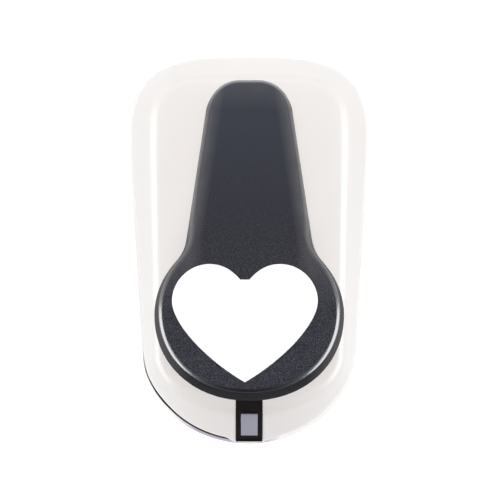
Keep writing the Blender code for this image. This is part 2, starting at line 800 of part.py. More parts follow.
def make_base_shell():
    base = loft(
        "base_shell",
        [
            level_ring(housing_outline(-BASE_LIP), FOOT_STAND),
            level_ring(housing_outline(-BASE_LIP), BASE_TOP_Z),
        ],
        soft=(0,),
    )
    soften(base, BASE_ROUND)
    wide = REAR_HALF_WIDTH + OVERRUN
    front = FRONT_CENTRE_Y - FRONT_REACH - OVERRUN
    throat = box(
        "throat cut", (-wide, front, DECK_TOP_Z), (wide, THROAT_BACK_Y, BASE_TOP_Z + OVERRUN)
    )
    cut(base, throat)
    hollow = loft(
        "base hollow",
        [
            level_ring(housing_outline(WALL), FOOT_STAND - OVERRUN),
            level_ring(housing_outline(WALL), DECK_TOP_Z - DECK),
        ],
    )
    cut(base, hollow)
    for _, place in housing_screw_places():
        boss = rod("base boss", BOSS_RADIUS, pad_top() + GAP, DECK_TOP_Z - DECK / 2, place)
        join(base, boss)
    pocket = plate(
        "die pocket",
        [keyhole_outline(DIE_TONGUE_END_Y, GAP)],
        DIE_BOTTOM_Z - OVERRUN,
        BASE_TOP_Z + OVERRUN,
    )
    cut(base, pocket)
    for _, place in long_screw_places():
        bore = rod("bore", SCREW_RADIUS + GAP, FOOT_STAND, BASE_TOP_Z + OVERRUN, place)
        cut(base, bore)
    for _, place in short_screw_places():
        bore = rod("bore", SCREW_RADIUS + GAP, FOOT_STAND, DECK_TOP_Z - SHORT_SCREW_TIP, place)
        cut(base, bore)
    return finish_part(base, "base_shell", "white_plastic")


def long_screw_places():
    """The long screws stand under the plateau, one row behind the throat and one at the rear."""
    rear_edge = REAR_CENTRE_Y + PLATEAU_REAR_REACH
    rows = (THROAT_BACK_Y + LONG_SCREW_BEHIND_THROAT, rear_edge - LONG_SCREW_TO_REAR_EDGE)
    found = []
    for row, y, inset in zip(("front", "rear"), rows, LONG_SCREW_INSETS):
        place = (PLATEAU_REAR_HALF_WIDTH - inset, y)
        found += [(f"{row}_{side}", spot) for side, spot in both_sides(place)]
    return found


def short_screw_places():
    """The short screws stand beside the round plates, under the throat's deck."""
    radius = PLATE_RADIUS + BOSS_RADIUS
    x = radius * math.cos(SHORT_SCREW_ANGLE)
    return both_sides((x, DIE_Y + radius * math.sin(SHORT_SCREW_ANGLE)))


def housing_screw_places():
    return long_screw_places() + list(short_screw_places())


def pad_top():
    return FOOT_STAND + BOTTOM_THICKNESS + SCREW_PAD_HEIGHT


def make_bottom_cover():
    top = FOOT_STAND + BOTTOM_THICKNESS
    cover = plate("bottom_cover", [housing_outline(WALL + GAP)], FOOT_STAND, top)
    chute = plate(
        "chute",
        [heart_outline(CHUTE_RELIEF + CHUTE_WALL, (0.0, DIE_Y))],
        top - SEAT_OVERLAP,
        DIE_BOTTOM_Z - GAP,
    )
    join(cover, chute)
    for side in (-1.0, 1.0):
        middle = side * RIB_X
        low = (middle - RIB_WIDTH / 2, THROAT_BACK_Y, top - SEAT_OVERLAP)
        high = (middle + RIB_WIDTH / 2, DIE_TONGUE_END_Y, DIE_BOTTOM_Z - GAP)
        join(cover, box("die rib", low, high))
    window = plate(
        "window",
        [heart_outline(CHUTE_RELIEF, (0.0, DIE_Y))],
        FOOT_STAND - OVERRUN,
        DIE_BOTTOM_Z + OVERRUN,
    )
    cut(cover, window)
    for _, place in housing_screw_places():
        pad = rod("screw pad", BOSS_RADIUS, top - SEAT_OVERLAP, pad_top(), place)
        join(cover, pad)
    for _, place in housing_screw_places():
        floor = FOOT_STAND + COUNTERBORE_DEPTH
        sunk = rod("counterbore", SCREW_HEAD_RADIUS + GAP, FOOT_STAND - OVERRUN, floor, place)
        cut(cover, sunk)
        bore = rod("bore", SCREW_RADIUS + GAP, floor - OVERRUN, pad_top() + OVERRUN, place)
        cut(cover, bore)
    for _, _, place in foot_places():
        top_of_recess = FOOT_HEIGHT + GAP
        sunk = rod("foot recess", FOOT_RADIUS + GAP, FOOT_STAND - OVERRUN, top_of_recess, place)
        cut(cover, sunk)
    return finish_part(cover, "bottom_cover", "white_plastic")


def foot_places():
    rear = (REAR_HALF_WIDTH * FOOT_SIDE_SHARES[0], REAR_CENTRE_Y + REAR_REACH - FOOT_INSETS[0])
    front = (FRONT_HALF_WIDTH * FOOT_SIDE_SHARES[1], FRONT_CENTRE_Y - FRONT_REACH + FOOT_INSETS[1])
    found = []
    for row, place in (("rear", rear), ("front", front)):
        found += [(row, side, spot) for side, spot in both_sides(place)]
    return found


def make_feet():
    for row, side, place in foot_places():
        foot = rod(f"foot_{row}_{side}", FOOT_RADIUS, 0.0, FOOT_HEIGHT, place, steps=ROUND_STEPS)
        round_edges(foot, FOOT_ROUND, segments=1)
        finish_part(foot, f"foot_{row}_{side}", "rubber")


def make_throat_plate():
    sheet = plate(
        "throat_plate", [housing_outline(WALL + GAP)], COVER_BOTTOM_Z, THROAT_PLATE_TOP_Z
    )
    wide = REAR_HALF_WIDTH + OVERRUN
    rear = REAR_CENTRE_Y + REAR_REACH + OVERRUN
    low = (-wide, THROAT_BACK_Y - GAP, COVER_BOTTOM_Z - OVERRUN)
    high = (wide, rear, THROAT_PLATE_TOP_Z + OVERRUN)
    cut(sheet, box("rear cut", low, high))
    hole = plate(
        "cutter hole",
        [heart_outline(THROAT_PLATE_RELIEF, (0.0, DIE_Y))],
        COVER_BOTTOM_Z - OVERRUN,
        THROAT_PLATE_TOP_Z + OVERRUN,
    )
    cut(sheet, hole)
    return finish_part(sheet, "throat_plate", "white_plastic")


def shoulder_pitch(run):
    """Pitch of a shoulder that runs so far inwards."""
    return math.atan2(SHOULDER_RISE, run)


def make_top_cover():
    cover = loft(
        "top_cover",
        [
            level_ring(housing_outline(), COVER_BOTTOM_Z),
            level_ring(housing_outline(COVER_DRAFT), SHOULDER_Z),
            level_ring(plateau_outline(), PLATEAU_Z),
        ],
        soft=(1, 2),
    )
    soften(cover, PLATEAU_ROUND)
    side_slope = shoulder_pitch(REAR_HALF_WIDTH - COVER_DRAFT - PLATEAU_REAR_HALF_WIDTH)
    roof_inset = WALL * math.tan(side_slope / 2)
    shoulder_drop = WALL * math.tan((math.pi / 2 - side_slope) / 2)
    hollow = loft(
        "cover hollow",
        [
            level_ring(housing_outline(WALL), COVER_BOTTOM_Z - OVERRUN),
            level_ring(housing_outline(WALL), COVER_BOTTOM_Z),
            level_ring(housing_outline(COVER_DRAFT + WALL), SHOULDER_Z - shoulder_drop),
            level_ring(plateau_outline(roof_inset), ROOF_Z),
        ],
    )
    cut(cover, hollow)
    for _, place in long_screw_places():
        boss = rod("cover boss", BOSS_RADIUS, COVER_BOTTOM_Z, boss_top(), place)
        join(cover, boss)
    for _, place in long_screw_places():
        bore = rod(
            "bore", SCREW_RADIUS + GAP, COVER_BOTTOM_Z - OVERRUN, long_screw_tip() + GAP, place
        )
        cut(cover, bore)
    hole = rod(
        "plunger hole",
        PLUNGER_RADIUS + PLUNGER_CLEARANCE,
        ROOF_Z - OVERRUN,
        PLATEAU_Z + OVERRUN,
        (0.0, DIE_Y),
        steps=TURNED_STEPS,
    )
    cut(cover, hole)
    opening = box(
        "hinge opening",
        (-OPENING_HALF_WIDTH, PIN_Y - OPENING_HALF_LENGTH, ROOF_Z - OVERRUN),
        (OPENING_HALF_WIDTH, PIN_Y + OPENING_HALF_LENGTH, PLATEAU_Z + OVERRUN),
    )
    cut(cover, opening)
    cut(cover, side_profile("bezel channel", bezel_ring(GAP), BEZEL_HALF_WIDTH + GAP))
    cut(cover, catch_slot("catch slot", ROOF_Z - OVERRUN, PLATEAU_Z + OVERRUN))
    cut(cover, stem_slot("stem slot", WALL + OVERRUN))
    return finish_part(cover, "top_cover", "white_plastic")


def boss_top():
    """The bosses run up into the roof."""
    return ROOF_Z + SEAT_OVERLAP


def long_screw_tip():
    return COVER_BOTTOM_Z + LONG_SCREW_REACH


def catch_slot(name, low, high):
    """Opening for the lever's catch, run out into the plunger hole behind it."""
    half = CATCH_HALF_WIDTH + CATCH_SLOT_CLEARANCE
    front = CATCH_FRONT_Y - NOSE_REACH - CATCH_SLOT_CLEARANCE
    return box(name, (-half, front, low), (half, DIE_Y - PLUNGER_RADIUS + OVERRUN, high))


def stem_slot(name, depth):
    """Opening for the button's stem in both its positions, square to the slope."""
    half = STEM_HALF_WIDTH + GAP
    top = -(STEM_TOP - LOCK_TRAVEL - GAP)
    bottom = -(STEM_TOP + STEM_LENGTH + GAP)
    slot = box(name, (-half, bottom, -depth), (half, top, OVERRUN))
    slot.parent = LOCK_FRAME
    return slot


def bezel_ring(grow=0.0):
    """Side view of the bezel: over the plateau's front, then down the slope."""
    outer = -(BEZEL_PROUD + grow)
    inner = BEZEL_THICKNESS - BEZEL_PROUD + grow
    end = BEZEL_SLOPE_LENGTH + grow
    rear = BEZEL_REAR_Y + grow
    corner = math.tan(SLOPE_ANGLE / 2)
    return [
        (rear, PLATEAU_Z - outer),
        (rear, PLATEAU_Z - inner),
        (SLOPE_TOP_Y + inner * corner, PLATEAU_Z - inner),
        on_slope(end, inner),
        on_slope(end, outer),
        (SLOPE_TOP_Y + outer * corner, PLATEAU_Z - outer),
    ]


# Die set and frame


def frame_screw_places():
    found = []
    rows = (THROAT_BACK_Y + FRAME_SCREW_EDGE, DIE_TONGUE_END_Y - FRAME_SCREW_EDGE)
    for row, y in zip(("front", "rear"), rows):
        found += [(f"{row}_{side}", spot) for side, spot in both_sides((FRAME_SCREW_X, y))]
    return found


def bore_holes(obj, places, low, high, radius=SCREW_RADIUS + GAP):
    for place in places:
        cut(obj, rod("hole", radius, low - OVERRUN, high + OVERRUN, place))


def make_die_plate():
    rings = [keyhole_outline(DIE_TONGUE_END_Y), heart_outline(CUTTER_CLEARANCE, (0.0, DIE_Y))]
    die = plate("die_plate", rings, DIE_BOTTOM_Z, DECK_TOP_Z)
    places = [place for _, place in frame_screw_places()]
    bore_holes(die, places, DIE_BOTTOM_Z, DECK_TOP_Z)
    return finish_part(die, "die_plate", "steel")


def make_frame_spacer():
    low = (-TONGUE_HALF_WIDTH, THROAT_BACK_Y, DECK_TOP_Z + GAP)
    high = (TONGUE_HALF_WIDTH, DIE_TONGUE_END_Y, GUIDE_BOTTOM_Z - GAP)
    spacer = box("frame_spacer", low, high)
    places = [place for _, place in frame_screw_places()]
    bore_holes(spacer, places, DECK_TOP_Z, GUIDE_BOTTOM_Z)
    return finish_part(spacer, "frame_spacer", "steel")


def make_guide_plate():
    rings = [keyhole_outline(GUIDE_TONGUE_END_Y), heart_outline(CUTTER_CLEARANCE, (0.0, DIE_Y))]
    guide = plate("guide_plate", rings, GUIDE_BOTTOM_Z, GUIDE_TOP_Z)
    places = [place for _, place in frame_screw_places()] + bracket_screw_places()
    bore_holes(guide, places, GUIDE_BOTTOM_Z, GUIDE_TOP_Z)
    bore_holes(guide, post_places(), GUIDE_BOTTOM_Z, GUIDE_TOP_Z, POST_RADIUS + GAP)
    for place in post_places():
        radius = SPRING_RADIUS + SPRING_WIRE_RADIUS + SPRING_POCKET_CLEARANCE
        floor = GUIDE_TOP_Z - SPRING_POCKET_DEPTH
        cut(guide, rod("spring pocket", radius, floor, GUIDE_TOP_Z + OVERRUN, place))
    return finish_part(guide, "guide_plate", "zinc")


def make_posts():
    for name, place in zip(POST_NAMES, post_places()):
        post = rod(f"guide_post_{name}", POST_RADIUS, GUIDE_BOTTOM_Z + GAP, FLANGE_TOP_Z, place)
        finish_part(post, f"guide_post_{name}", "steel")


def make_springs():
    """Return springs round the guide posts, from the guide plate's pockets to the plunger's flange."""
    low = GUIDE_TOP_Z - SPRING_POCKET_DEPTH + GAP + SPRING_WIRE_RADIUS
    high = FLANGE_BOTTOM_Z - GAP - SPRING_WIRE_RADIUS
    count = SPRING_TURNS * SPRING_POINTS_A_TURN
    for name, place in zip(POST_NAMES, post_places()):
        curve = bpy.data.curves.new(f"return_spring_{name}", "CURVE")
        curve.dimensions = "3D"
        curve.bevel_depth = SPRING_WIRE_RADIUS / MM
        curve.bevel_resolution = 1
        curve.use_fill_caps = True
        spline = curve.splines.new("POLY")
        spline.points.add(count)
        points = []
        for step in range(count + 1):
            angle = 2 * math.pi * step / SPRING_POINTS_A_TURN
            x = place[0] + SPRING_RADIUS * math.cos(angle)
            y = place[1] + SPRING_RADIUS * math.sin(angle)
            points.append((x, y, low + (high - low) * step / count))
        for point, spot in zip(spline.points, points):
            point.co = (*(value / MM for value in spot), 1.0)
        guide = bpy.data.objects.new(f"return_spring_{name}", curve)
        spring = mesh_from_curve(guide)
        finish_part(spring, f"return_spring_{name}", "steel")
        print(f"{spring.name}: least gap to itself {least_gap(points) / MM:.2f} mm")


def least_gap(points):
    """Least distance between wire surfaces of points at least half a turn apart."""
    apart = SPRING_POINTS_A_TURN // 2
    nearest = min(
        math.dist(points[i], points[j])
        for i in range(len(points))
        for j in range(i + apart, len(points))
    )
    return nearest - 2 * SPRING_WIRE_RADIUS


def bracket_screw_places():
    return [(0.0, PIN_Y - BRACKET_SCREW_OFFSET), (0.0, PIN_Y + BRACKET_SCREW_OFFSET)]


def make_hinge_bracket():
    low_z = GUIDE_TOP_Z + GAP
    high_z = low_z + BRACKET_THICKNESS
    bracket = box(
        "hinge_bracket",
        (-BRACKET_HALF_WIDTH, PIN_Y - BRACKET_HALF_LENGTH, low_z),
        (BRACKET_HALF_WIDTH, PIN_Y + BRACKET_HALF_LENGTH, high_z),
    )
    ring = [(PIN_Y - EAR_HALF_FOOT, low_z)]
    for step in range(SMALL_ROUND_STEPS + 1):
        angle = math.pi - math.pi * step / SMALL_ROUND_STEPS
        ring.append((PIN_Y + EAR_RADIUS * math.cos(angle), PIN_Z + EAR_RADIUS * math.sin(angle)))
    ring.append((PIN_Y + EAR_HALF_FOOT, low_z))
    for side in (-1.0, 1.0):
        middle = side * (BRACKET_HALF_WIDTH - BRACKET_THICKNESS / 2)
        join(bracket, side_profile("ear", ring, BRACKET_THICKNESS / 2, middle))
    bore = rod(
        "bush bore",
        BUSH_RADIUS + GAP,
        -BRACKET_HALF_WIDTH - OVERRUN,
        BRACKET_HALF_WIDTH + OVERRUN,
        (PIN_Y, PIN_Z),
        axis="X",
        steps=ROUND_STEPS,
    )
    cut(bracket, bore)
    bore_holes(bracket, bracket_screw_places(), low_z, high_z)
    return finish_part(bracket, "hinge_bracket", "steel")


def make_bushes():
    for side, word in ((1.0, "right"), (-1.0, "left")):
        face = BRACKET_HALF_WIDTH + GAP
        inner = BRACKET_HALF_WIDTH - BRACKET_THICKNESS
        start, end = sorted((side * inner, side * (face + SEAT_OVERLAP)))
        bush = rod(
            f"hinge_bush_{word}",
            BUSH_RADIUS,
            start,
            end,
            (PIN_Y, PIN_Z),
            axis="X",
            steps=ROUND_STEPS,
        )
        start, end = sorted((side * face, side * (face + BUSH_FLANGE_WIDTH)))
        flange = rod(
            "flange", BUSH_FLANGE_RADIUS, start, end, (PIN_Y, PIN_Z), axis="X", steps=ROUND_STEPS
        )
        join(bush, flange)
        far = BRACKET_HALF_WIDTH + OVERRUN
        bore = rod("bore", PIN_RADIUS + GAP, -far, far, (PIN_Y, PIN_Z), axis="X", steps=ROUND_STEPS)
        cut(bush, bore)
        finish_part(bush, f"hinge_bush_{word}", "nylon")


# Plunger and cutter, in a frame on the punch's axis


def make_plunger():
    top = PLUNGER_TOP_Z
    round_drop = PLUNGER_ROUND * (1 - math.sqrt(0.5))
    profile = [
        (0.0, top),
        (PLUNGER_RADIUS - PLUNGER_ROUND, top),
        (PLUNGER_RADIUS - round_drop, top - round_drop),
        (PLUNGER_RADIUS, top - PLUNGER_ROUND),
        (PLUNGER_RADIUS, FLANGE_TOP_Z),
        (FLANGE_RADIUS, FLANGE_TOP_Z),
        (FLANGE_RADIUS, FLANGE_BOTTOM_Z),
        (PLUNGER_RADIUS - PLUNGER_WALL, FLANGE_BOTTOM_Z),
        (PLUNGER_RADIUS - PLUNGER_WALL, top - PLUNGER_ROOF),
        (0.0, top - PLUNGER_ROOF),
    ]
    plunger = turned("plunger", profile)
    for _, place in column_places():
        low = CUTTER_TOP_Z + GAP
        column = rod("column", COLUMN_RADIUS, low, top - PLUNGER_ROOF / 2, place, steps=ROUND_STEPS)
        join(plunger, column, PRESS_FRAME)
    for _, place in column_places():
        floor = top - COLUMN_BORE_DEPTH
        sunk = rod("sunk head", SCREW_HEAD_RADIUS + GAP, floor, top + OVERRUN, place)
        cut(plunger, sunk, PRESS_FRAME)
        bore = rod("bore", SCREW_RADIUS + GAP, CUTTER_TOP_Z - OVERRUN, top, place)
        cut(plunger, bore, PRESS_FRAME)
    for x, y in post_places():
        radius = POST_RADIUS + POST_HOLE_CLEARANCE
        spot = (x, y - DIE_Y)
        hole = rod("post hole", radius, FLANGE_BOTTOM_Z - OVERRUN, ROOF_Z + OVERRUN, spot)
        cut(plunger, hole, PRESS_FRAME)
    far = FLANGE_RADIUS + OVERRUN
    flat = -POST_CIRCLE
    low = (-far, -far, FLANGE_BOTTOM_Z - OVERRUN)
    high = (far, flat, ROOF_Z + OVERRUN)
    cut(plunger, box("flange flat", low, high), PRESS_FRAME)
    return finish_part(plunger, "plunger", "charcoal_plastic", PRESS_FRAME)


def column_places():
    return both_sides((COLUMN_X, COLUMN_FORWARD))


def make_cutter():
    cutter = plate("cutter", [heart_outline()], CUTTER_BOTTOM_Z, CUTTER_TOP_Z)
    reach = HEART_WIDTH / 2 + OVERRUN
    radius = (HEART_WIDTH**2 / 4 + CUTTER_HOLLOW**2) / (2 * CUTTER_HOLLOW)
    arc = []
    for step in range(-CUTTER_HOLLOW_STEPS, CUTTER_HOLLOW_STEPS + 1):
        x = reach * step / CUTTER_HOLLOW_STEPS
        rise = CUTTER_HOLLOW - radius + math.sqrt(radius**2 - x**2)
        arc.append((x, CUTTER_BOTTOM_Z + rise))
    arc += [(reach, CUTTER_BOTTOM_Z - OVERRUN), (-reach, CUTTER_BOTTOM_Z - OVERRUN)]
    cut(cutter, front_profile("hollow grind", arc, HEART_HEIGHT, 0.0), PRESS_FRAME)
    for _, place in column_places():
        floor = CUTTER_TOP_Z - PLUNGER_SCREW_TIP - GAP
        bore = rod("tapped hole", SCREW_RADIUS + GAP, floor, CUTTER_TOP_Z + OVERRUN, place)
        cut(cutter, bore, PRESS_FRAME)
    return finish_part(cutter, "cutter", "zinc", PRESS_FRAME)


def make_plunger_screws():
    for side, place in column_places():
        head = PLUNGER_TOP_Z - COLUMN_BORE_DEPTH + GAP + SCREW_HEAD_HEIGHT
        tip = CUTTER_TOP_Z - PLUNGER_SCREW_TIP
        screw(f"plunger_screw_{side}", place, head, tip, parent=PRESS_FRAME)


# Lever, in a frame on the hinge axis


def lever_ring(inset, height):
    """A ring of the lever: its outline moved in, at a height. Both are functions of y."""
    outline = offset_ring(closed_ring(lever_half()), lambda y: -inset(y))
    return [(x, y, height(y)) for x, y in outline]


def lever_draft(y):
    return on_tail(y, HEAD_DRAFT, TAIL_DRAFT)


def lever_edge_ring(angle):
    """A ring on the rounded upper edge: 0 where the rounding leaves the wall, a right angle on top."""

    def inset(y):
        return lever_draft(y) + on_tail(y, HEAD_ROUND, TAIL_ROUND_WIDTH) * (1 - math.cos(angle))

    def height(y):
        return lever_top(y) - on_tail(y, HEAD_ROUND, TAIL_ROUND_HEIGHT) * (1 - math.sin(angle))

    return lever_ring(inset, height)


def make_lever():
    rings = [lever_ring(lambda y: 0.0, skirt_bottom)]
    for step in range(LEVER_ROUND_STEPS + 1):
        rings.append(lever_edge_ring(math.pi / 2 * step / LEVER_ROUND_STEPS))
    lever = loft("lever", rings)
    hollow = loft(
        "lever hollow",
        [
            lever_ring(lambda y: LEVER_WALL, lambda y: SKIRT_Z - OVERRUN),
            lever_ring(
                lambda y: LEVER_WALL + lever_draft(y), lambda y: lever_top(y) - LEVER_ROOF
            ),
        ],
    )
    cut(lever, hollow, LEVER_FRAME)
    outer_x = tail_width_at_pin() - LEVER_WALL + HUB_SINK
    for side in (-1.0, 1.0):
        start, end = sorted((side * HUB_INNER_X, side * outer_x))
        hub = rod("hub", HUB_RADIUS, start, end, (0.0, 0.0), axis="X", steps=ROUND_STEPS)
        join(lever, hub, LEVER_FRAME)
        join(lever, lever_rib(side * LEVER_RIB_X), LEVER_FRAME)
    join(lever, pusher(), LEVER_FRAME)
    join(lever, catch(), LEVER_FRAME)
    far = TAIL_HALF_WIDTH + OVERRUN
    bore = rod("pin bore", PIN_RADIUS + GAP, -far, far, (0.0, 0.0), axis="X", steps=ROUND_STEPS)
    cut(lever, bore, LEVER_FRAME)
    seat_low = lever_top(HEAD_Y) - INLAY_DEPTH - GAP
    seat = plate(
        "inlay seat",
        [heart_outline(GAP, inlay_centre())],
        seat_low,
        lever_top(HEAD_Y) + OVERRUN,
    )
    cut(lever, seat, LEVER_FRAME)
    return finish_part(lever, "lever", "charcoal_plastic", LEVER_FRAME)


def tail_width_at_pin():
    taper = (NECK_HALF_WIDTH - TAIL_HALF_WIDTH) / (TAIL_TIP_Y - NECK_Y)
    return TAIL_HALF_WIDTH + TAIL_TIP_Y * taper


def lever_rib(x):
    """A stiffening rib that hangs from the roof along the tail."""
    low = lever_top(TOP_FALL_END_Y) - LEVER_ROOF - LEVER_RIB_DEPTH
    return side_profile(
        "lever rib",
        [
            (LEVER_RIB_START_Y, low),
            (LEVER_RIB_END_Y, low),
            (LEVER_RIB_END_Y, lever_top(LEVER_RIB_END_Y) - LEVER_ROOF / 2),
            (LEVER_RIB_START_Y, lever_top(LEVER_RIB_START_Y) - LEVER_ROOF / 2),
        ],
        LEVER_RIB_WIDTH / 2,
        x,
    )


def pusher():
    """The cross rib under the head that bears on the plunger, round at its lower edge."""
    pressed_top = PLUNGER_TOP_Z - PRESS_TRAVEL + GAP - PIN_Z
    middle = pressed_top + PUSHER_RADIUS
    ring = [(HEAD_Y - PUSHER_RADIUS, lever_top(HEAD_Y) - LEVER_ROOF / 2)]
    for step in range(SMALL_ROUND_STEPS + 1):
        angle = math.pi + math.pi * step / SMALL_ROUND_STEPS
        y = HEAD_Y + PUSHER_RADIUS * math.cos(angle)
        ring.append((y, middle + PUSHER_RADIUS * math.sin(angle)))
    ring.append((HEAD_Y + PUSHER_RADIUS, lever_top(HEAD_Y) - LEVER_ROOF / 2))
    return side_profile("pusher", ring, PUSHER_HALF_WIDTH)


def nose_top():
    """Height of the catch's nose when the lever is pressed, in world coordinates."""
    return ROOF_Z - LEDGE_BELOW_ROOF - LEDGE_THICKNESS - GAP


def nose_ramp():
    return NOSE_REACH - CATCH_STEM / 2


def ledge_locked_y():
    """Where the locked ledge ends, so that its edge passes the nose's ramp with its clearance."""
    ramp_top = CATCH_FRONT_Y - NOSE_REACH + nose_ramp()
    return ramp_top + (GAP * math.cos(SLOPE_ANGLE) - LEDGE_CLEARANCE) / math.sin(SLOPE_ANGLE)


def catch():
    """The hook under the head's front that the latch holds. Its nose is cut parallel to the slope."""
    front = CATCH_FRONT_Y - PIN_Y
    back = front + CATCH_STEM
    top = nose_top() - PIN_Z
    tip = front - NOSE_REACH
    ramp_drop = nose_ramp() * math.tan(SLOPE_ANGLE)
    ring = [
        (back, SKIRT_Z + SEAT_OVERLAP + LEVER_WALL),
        (back, top - NOSE_HEIGHT),
        (tip, top - NOSE_HEIGHT),
        (tip, top - ramp_drop),
        (tip + nose_ramp(), top),
        (front, top),
        (front, SKIRT_Z + SEAT_OVERLAP + LEVER_WALL),
    ]
    return side_profile("catch", ring, CATCH_HALF_WIDTH)


def inlay_centre():
    return (INLAY_SHIFT_X, HEAD_Y + INLAY_SHIFT_Y)


def make_heart_inlay():
    low = lever_top(HEAD_Y) - INLAY_DEPTH
    inlay = plate(
        "heart_inlay", [heart_outline(0.0, inlay_centre())], low, lever_top(HEAD_Y) + INLAY_PROUD
    )
    return finish_part(inlay, "heart_inlay", "white_plastic", LEVER_FRAME)


def make_hinge_pin():
    end = tail_width_at_pin() - TAIL_DRAFT / 2 - PIN_RECESS
    pin = rod("hinge_pin", PIN_RADIUS, -end, end, (0.0, 0.0), axis="X", steps=ROUND_STEPS)
    return finish_part(pin, "hinge_pin", "steel", LEVER_FRAME)


# Lock, in a frame on the front slope


def make_lock_bezel():
    bezel = side_profile("lock_bezel", bezel_ring(), BEZEL_HALF_WIDTH)
    cut(bezel, catch_slot("bezel slot", ROOF_Z - OVERRUN, PLATEAU_Z + OVERRUN))
    cut(bezel, stem_slot("bezel stem slot", WALL))
    return finish_part(bezel, "lock_bezel", "black_plastic")


def make_lock_button():
    low_z = BEZEL_PROUD + GAP
    button = box(
        "lock_button",
        (-BUTTON_HALF_WIDTH, -BUTTON_TOP - BUTTON_LENGTH, low_z),
        (BUTTON_HALF_WIDTH, -BUTTON_TOP, low_z + BUTTON_THICKNESS),
    )
    round_edges(button, BUTTON_ROUND)
    stem = box(
        "stem",
        (-STEM_HALF_WIDTH, -STEM_TOP - STEM_LENGTH, -WALL),
        (STEM_HALF_WIDTH, -STEM_TOP, low_z + SEAT_OVERLAP),
    )
    join(button, stem, LOCK_FRAME)
    return finish_part(button, "lock_button", "grey_plastic", LOCK_FRAME)


def make_lock_latch():
    """The inner slide: a plate under the slope with a ledge that reaches back over the catch's nose."""
    outer = WALL + GAP
    inner = outer + LATCH_THICKNESS
    shift_y = LOCK_TRAVEL * math.cos(SLOPE_ANGLE)
    shift_z = LOCK_TRAVEL * math.sin(SLOPE_ANGLE)
    ledge_low = ROOF_Z - LEDGE_BELOW_ROOF - LEDGE_THICKNESS - shift_z
    ledge_high = ledge_low + LEDGE_THICKNESS
    tip = ledge_locked_y() - shift_y
    ring = [
        depth_at(ledge_high, outer),
        on_slope(LATCH_BOTTOM, outer),
        on_slope(LATCH_BOTTOM, inner),
        depth_at(ledge_low, inner),
        (tip, ledge_low),
        (tip, ledge_high),
    ]
    ring = [slope_local(y, z) for y, z in ring]
    latch = side_profile("lock_latch", ring, LATCH_HALF_WIDTH)
    return finish_part(latch, "lock_latch", "steel", LOCK_FRAME)


def depth_at(z, depth):
    """(y, z) of the place at a height, so deep in the slope."""
    down = (PLATEAU_Z - depth * math.cos(SLOPE_ANGLE) - z) / math.sin(SLOPE_ANGLE)
    return on_slope(down, depth)


def make_screws():
    floor = FOOT_STAND + COUNTERBORE_DEPTH
    head = floor - GAP - SCREW_HEAD_HEIGHT
    for name, place in long_screw_places():
        screw(f"housing_screw_{name}", place, head, long_screw_tip())
    for side, place in short_screw_places():
        tip = DECK_TOP_Z - SHORT_SCREW_TIP - GAP
        screw(f"base_screw_{side}", place, head, tip)
    for name, place in frame_screw_places():
        head = GUIDE_TOP_Z + GAP + SCREW_HEAD_HEIGHT
        screw(f"frame_screw_{name}", place, head, DIE_BOTTOM_Z + FRAME_SCREW_TIP)
    for name, place in zip(("front", "rear"), bracket_screw_places()):
        head = GUIDE_TOP_Z + 2 * GAP + BRACKET_THICKNESS + SCREW_HEAD_HEIGHT
        screw(f"bracket_screw_{name}", place, head, GUIDE_BOTTOM_Z + FRAME_SCREW_TIP)


LEVER_FRAME = new_empty("lever_axis", (0.0, PIN_Y, PIN_Z), -REST_PITCH)
PRESS_FRAME = new_empty("press_axis", (0.0, DIE_Y, 0.0))
LOCK_FRAME = new_empty("lock_axis", (0.0, SLOPE_TOP_Y, PLATEAU_Z), SLOPE_ANGLE)

make_base_shell()
make_bottom_cover()
make_feet()
make_throat_plate()
make_top_cover()
make_die_plate()
make_frame_spacer()
make_guide_plate()
make_posts()
make_springs()
make_hinge_bracket()
make_bushes()
make_plunger()
make_cutter()
make_plunger_screws()
make_lever()
make_heart_inlay()
make_hinge_pin()
make_lock_bezel()
make_lock_button()
make_lock_latch()
make_screws()
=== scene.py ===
import math

import bmesh
import bpy
from mathutils import Matrix, Vector


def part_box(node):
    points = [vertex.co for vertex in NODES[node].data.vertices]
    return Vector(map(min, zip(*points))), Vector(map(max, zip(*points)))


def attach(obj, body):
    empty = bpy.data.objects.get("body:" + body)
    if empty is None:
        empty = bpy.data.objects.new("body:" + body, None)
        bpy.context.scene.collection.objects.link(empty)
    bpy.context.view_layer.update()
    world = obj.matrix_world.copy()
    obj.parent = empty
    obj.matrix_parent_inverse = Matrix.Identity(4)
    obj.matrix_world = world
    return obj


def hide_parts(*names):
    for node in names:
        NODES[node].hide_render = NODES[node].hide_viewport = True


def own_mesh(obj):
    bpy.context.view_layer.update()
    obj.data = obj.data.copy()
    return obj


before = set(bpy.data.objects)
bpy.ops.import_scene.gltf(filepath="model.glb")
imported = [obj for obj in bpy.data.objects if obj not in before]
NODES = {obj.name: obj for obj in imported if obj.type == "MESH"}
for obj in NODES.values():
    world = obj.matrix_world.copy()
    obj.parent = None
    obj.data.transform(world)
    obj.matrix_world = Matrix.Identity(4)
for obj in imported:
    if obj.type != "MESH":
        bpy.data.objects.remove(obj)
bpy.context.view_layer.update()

MM = 0.001
TINY = 1e-9
ALONG_X = Matrix.Rotation(math.pi / 2, 4, "Y")


def mm(*sizes):
    """Sizes in metres, given in millimetres."""
    return tuple(size * MM for size in sizes)


# In plan: half widths of rear and front, then how far these reach beyond their centres
HOUSING = mm(42.8, 38.3, 33.8, 33.6)
PLATEAU = mm(34.7, 33.9, 26.6, 20.9)
_, FRONT_HALF_WIDTH, _, FRONT_REACH = HOUSING
PLATEAU_FRONT_REACH = PLATEAU[3]
REAR_CENTRE_Y = 36.0 * MM
FRONT_CENTRE_Y = -36.2 * MM
# How square the outlines are: 2 is an ellipse
HOUSING_FULLNESS = 3.25
PLATEAU_FULLNESS = 4.6
FRONT_FULLNESS = 2.0
QUARTER_STEPS = 44
# The base's rim steps down here to the throat's deck
THROAT_BACK_Y = 14.0 * MM
THROAT_STEP = 0.12 * MM
